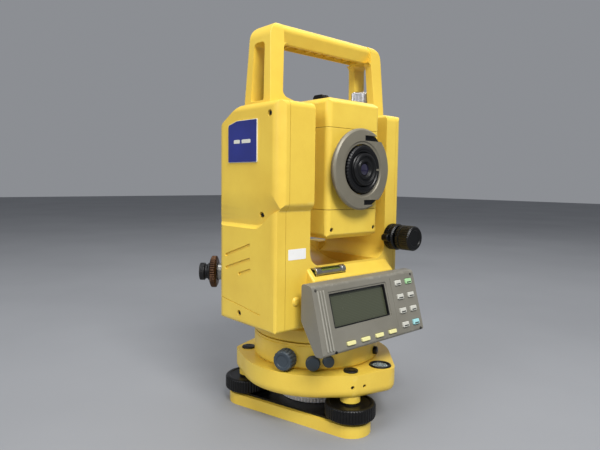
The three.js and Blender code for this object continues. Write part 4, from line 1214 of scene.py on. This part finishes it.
def telescope_housing():
    shell = prism(rectangle(-SCOPE_X, SCOPE_X, -SCOPE_Y, SCOPE_Y, 5, 8), "z", TILT.z - SEAM, TILT.z + SEAM)
    path = placed(disc(20, -SCOPE_Y - 1, SCOPE_Y + 1, 96), (0, 1, 0), (0, 0, TILT.z))
    cut(shell, path)
    bevelled(shell, 0.6, 3)
    finish(shell, "telescope_shell", YELLOW, "telescope", ["telescope_housing"])


def telescope_cover(name, node, side):
    """The upper or lower cover, made above the tilting axis and turned over for the lower one."""
    low, high = SEAM + GAP, COVER_RISE
    crown_half = [(SCOPE_X, low), (SCOPE_X, high - 3, 4), (SCOPE_X - 6, high, 5)]
    crown = smooth_path(crown_half + mirrored(crown_half))
    flank = smooth_path([
        (-SCOPE_Y - 1, low - 1), (SCOPE_Y + 1, low - 1), (SCOPE_Y, high - 8, 4), (SCOPE_Y - 12, high, 6),
        (-SCOPE_Y + 5, high, 4), (-SCOPE_Y, high - 4, 3),
    ])
    plan = rectangle(-SCOPE_X, SCOPE_X, -SCOPE_Y, SCOPE_Y, 5, 8)
    cover = common(
        prism(crown, "y", -SCOPE_Y - 1, SCOPE_Y + 1),
        prism(flank, "x", -SCOPE_X - 1, SCOPE_X + 1),
        prism(plan, "z", low - 2, high + 2),
    )
    front = Vector((0, -1, 0))
    spots = [Vector((x, -SCOPE_Y, high - 8)) for x in (-26.3, 26.3)] if side < 0 else []
    if spots:
        cut(cover, *[screw_well(spot, front, 2.0, 1.5) for spot in spots])
    bevelled(cover, 1.0, 3)
    flip = Matrix.Rotation(math.pi if side < 0 else 0, 4, "Y")
    cover.data.transform(Matrix.Translation(TILT) @ flip)
    finish(cover, name, YELLOW, "telescope", [node])
    places = [Vector((-spot.x, spot.y, TILT.z - spot.z)) for spot in spots]
    screws("telescope_cover_screw", places, front, "telescope", 1.0, 1.4)


def grip_ring():
    back = SCOPE_Y + GAP
    bore, radius = 21.1, 34.2
    rim, shelf, top = back + 4.6, back + 8.6, back + 9.5
    face = turned([
        (bore, rim, 0.4), (32.5, rim, 0.6), (radius, back + 6.2, 1.0), (radius, back + 8.2, 1.0),
        (32.6, top, 0.8), (23.7, top, 0.5), (22.7, shelf, 0.4), (bore, shelf, 0.4),
    ], 160)
    foot = turned([(bore, back), (29.2, back, 0.5), (29.2, back + 5), (bore, back + 5)], 160)
    gap = block(-17, 17, -40, 40, back - 1, back + 4.7)
    cut(foot, gap)
    join(face, foot)
    notches = ((24, 28.6), (-30, -25.6))
    cut(face, *[block(2, 40, y0, y1, back + 5.4, back + 11) for y0, y1 in notches])
    bevelled(face, 0.4, 2, 40)
    # black plates at the bottom of the notches: painted shade, standing for the dark gap seen down each
    # notch
    slot_shade_floors = common(
        turned([(21.2, back + 5), (33.6, back + 5), (33.6, back + 6.2), (21.2, back + 6.2)], 120),
        merged([block(2.1, 40, y0 + 0.1, y1 - 0.1, back, back + 9) for y0, y1 in notches]),
    )
    turn = Matrix(((1, 0, 0), (0, 0, -1), (0, 1, 0))).to_4x4()
    for thing in (face, slot_shade_floors):
        thing.data.transform(Matrix.Translation(TILT) @ turn)
    finish(face, "telescope_grip_ring", RING, "telescope", ["telescope_grip"])
    finish(slot_shade_floors, "telescope_grip_slots_painted_shade", BLACK, "telescope")


def focusing_knob():
    back = SCOPE_Y + GAP
    bore, radius = 14.7, 20.3
    knob = knurled([
        (bore, back), (radius, back), (radius, back + 9.6, 0.8), (18.9, back + 11, 0.7),
        (17.2, back + 11, 0.3), (16.4, back + 10.2, 0.3), (bore, back + 10.2, 0.3),
    ], 44, 0.6, radius - 0.3)
    placed(knob, (0, -1, 0), TILT)
    finish(knob, "focusing_knob_ribbed", BLACK, "focus", ["focusing_knob"], KNURL_SHARP)
    mark = prism(rectangle(15.0, 18.6, -0.8, 0.8, 0.3), "y", -back - 11.12, -back - 10.0)
    mark.data.transform(Matrix.Translation((0, 0, TILT.z)))
    finish(mark, "focusing_index", RING, "focus")


def eyepiece():
    back = SCOPE_Y - 8
    tip = -span("eyepiece")[0].y
    radius = 14
    body = knurled([
        (0, back), (radius, back), (radius, tip - 3.4, 0.4), (13.2, tip - 2.9, 0.2), (13.2, tip - 2.4, 0.2),
        (13.8, tip - 1.9, 0.3), (13.4, tip - 0.7, 0.4), (12.2, tip, 0.5), (11.0, tip, 0.3),
        (10.3, tip - 1.3, 0.3), (9.0, tip - 1.3, 0.3), (8.3, tip - 0.3, 0.3), (6.6, tip - 0.3, 0.3),
        (5.6, tip - 1.8, 0.3), (4.9, tip - 2.8), (0, tip - 2.8),
    ], 40, 0.4, radius - 0.4, tip - 20, tip - 3.6)
    placed(body, (0, -1, 0), TILT)
    finish(body, "eyepiece_barrel", BLACK, "eyepiece", ["eyepiece"], KNURL_SHARP)
    lens = turned([
        (0, tip - 3.2), (4.9, tip - 3.2), (4.7, tip - 2.2), (2.6, tip - 1.6), (0, tip - 1.4),
    ], 48)
    finish(placed(lens, (0, -1, 0), TILT), "eyepiece_lens", LENS, "eyepiece")


def objective():
    tip = span("objective_barrel")[1].y
    base = SCOPE_Y + GAP
    bore, radius, hood = 22.5, 27, 28.5
    barrel = turned([
        (bore, base), (radius, base, 0.6), (radius, tip - 16, 0.4), (26.2, tip - 15.4), (26.2, tip - 14.6),
        (radius, tip - 14, 0.4), (radius, tip - 9.4, 0.5), (hood, tip - 8, 0.7), (hood, tip - 0.2, 0.8),
        (27.2, tip, 0.6), (24.6, tip, 0.5), (24.2, tip - 8.6), (bore, tip - 9),
    ], 160)
    placed(barrel, (0, 1, 0), TILT)
    finish(barrel, "objective_barrel_turned", YELLOW, "telescope", ["objective_barrel"])
    liner = turned([
        (21.6, base + 2), (22.4, base + 2), (24.0, tip - 8), (24.5, tip - 0.8, 0.2), (24.0, tip - 0.5),
        (23.4, tip - 8), (21.6, base + 16),
    ], 128)
    placed(liner, (0, 1, 0), TILT)
    finish(liner, "objective_hood_liner", BLACK, "telescope")
    lens = turned([(0, 60), (22, 60), (22, 65.5, 0.3), (20.8, 66.4), (14, 67.6), (7, 68.4), (0, 68.7)], 128)
    placed(lens, (0, 1, 0), TILT)
    finish(lens, "objective_lens_coated", LENS, "telescope", ["objective_lens"], slot="optical_glass")
    cell = turned([(19.8, 66.2), (22.3, 66.2), (22.3, 68.4, 0.3), (20.6, 68.4, 0.3), (19.8, 67.4)], 128)
    placed(cell, (0, 1, 0), TILT)
    finish(cell, "objective_cell_ring", BLACK, "telescope")


def collimator():
    low, high = span("collimator_sight")
    profile = smooth_path([
        (low.y, low.z), (high.y, low.z), (high.y, high.z - 2, 1), (high.y - 2, high.z, 1.2),
        (low.y + 2, high.z, 1.2), (low.y, high.z - 2, 1),
    ])
    sight = prism(profile, "x", low.x, high.x)
    groove = block(-1.2, 1.2, low.y - 1, high.y + 1, high.z - 1.2, high.z + 1)
    cut(sight, groove)
    bevelled(sight, 0.4, 2)
    finish(sight, "collimator_sight_moulded", BLACK, "telescope", ["collimator_sight"])
    eye = turned([(0, 0), (1.5, 0), (1.5, 0.5, 0.2), (0, 0.6)], 32)
    placed(eye, (0, -1, 0), (0, low.y, (low.z + high.z) / 2))
    finish(eye, "collimator_eye", GLASS, "telescope")


# ---- nodes kept from the frame


def dress_kept_nodes():
    kept = {
        "main_circuit_board": BOARD, "vertical_axis_spindle": STEEL, "horizontal_circle": GLASS,
        "vertical_circle": GLASS, "left_trunnion": STEEL, "right_trunnion": STEEL,
    }
    for node, material in kept.items():
        thing = frame["nodes"][node]
        thing.data.materials.clear()
        thing.data.materials.append(material)


# ---- stage


def stage():
    bm = bmesh.new()
    bmesh.ops.create_grid(bm, x_segments=2, y_segments=2, size=6000)
    floor = solid(bm)
    floor.data.transform(Matrix.Scale(MM, 4))
    floor.name = "floor"
    material, tree, shader, place = new_material("floor_pale")
    cloud = between(tree, noise(tree, place, 3, 4), 0.35, 0.7, 0, 1)
    colour = mixed(tree, cloud, linear("8f9195"), linear("898b8f"))
    feed(tree, shader, {"Base Color": colour, "Roughness": 0.85})
    floor.data.materials.append(material)


def stand(thing, place, aim, roll=0):
    """Stands a light or the camera in a place, looking at another."""
    look = (Vector(aim) - Vector(place)).to_track_quat("-Z", "Y").to_matrix().to_4x4()
    thing.matrix_world = Matrix.Translation(place) @ look @ Matrix.Rotation(roll, 4, "Z")
    bpy.context.scene.collection.objects.link(thing)


def area_light(name, place, aim, size, power, colour=(1, 1, 1)):
    data = bpy.data.lights.new(name, "AREA")
    data.shape = "RECTANGLE"
    data.size, data.size_y = size
    data.energy = power
    data.color = colour
    stand(bpy.data.objects.new(name, data), place, aim)


def lights():
    middle = (0, 0, 0.17)
    area_light("key", (-0.35, -0.9, 1.15), middle, (0.6, 0.5), 20, (1, 0.99, 0.97))
    area_light("fill", (-1.6, -0.1, 1.0), middle, (1.0, 1.0), 13)
    area_light("rim", (1.2, 0.6, 1.3), middle, (0.8, 0.8), 3)
    area_light("top", (0, 0, 1.7), middle, (1.0, 1.0), 9)
    world = bpy.data.worlds.new("studio")
    bpy.context.scene.world = world
    world.use_nodes = True
    background = world.node_tree.nodes["Background"]
    feed(world.node_tree, background, {"Color": linear("b6b9bf"), "Strength": 0.56})
    bpy.context.scene.view_settings.view_transform = "Standard"


CAMERA_PLACE = (-0.3366, -0.35225, 0.2074)
CAMERA_AIM = (-0.0116, 0.0109, 0.1672)
CAMERA_ROLL = math.radians(0.7)
CAMERA_LENS = 31.74


def camera():
    data = bpy.data.cameras.new("camera")
    data.lens = CAMERA_LENS
    data.sensor_width = 36
    data.clip_start = 0.01
    eye = bpy.data.objects.new("camera", data)
    stand(eye, CAMERA_PLACE, CAMERA_AIM, CAMERA_ROLL)
    bpy.context.scene.camera = eye


# ---- the whole instrument

camera()
lights()
stage()

base_plate()
tripod_hub()
spring_plate()
foot_screws()
tribrach_body()
dust_caps()
circular_level()
base_drum()
drum_plug()
lock_knob()
port_caps()

left_side_cover()
name_plate()
frame_casting()
turntable()
console_block()
rear_block()
front_trim()
right_side_cover()
battery_pack()
battery_catch()
plate_level()
display_housing()
display_window()
key_caps()
plummet()
motion_knobs()
carrying_handle()
handle_screws()

telescope_housing()
telescope_cover("telescope_upper_cover", "telescope_top_cover", 1)
telescope_cover("telescope_lower_cover", "telescope_bottom_cover", -1)
grip_ring()
focusing_knob()
eyepiece()
objective()
collimator()
dress_kept_nodes()
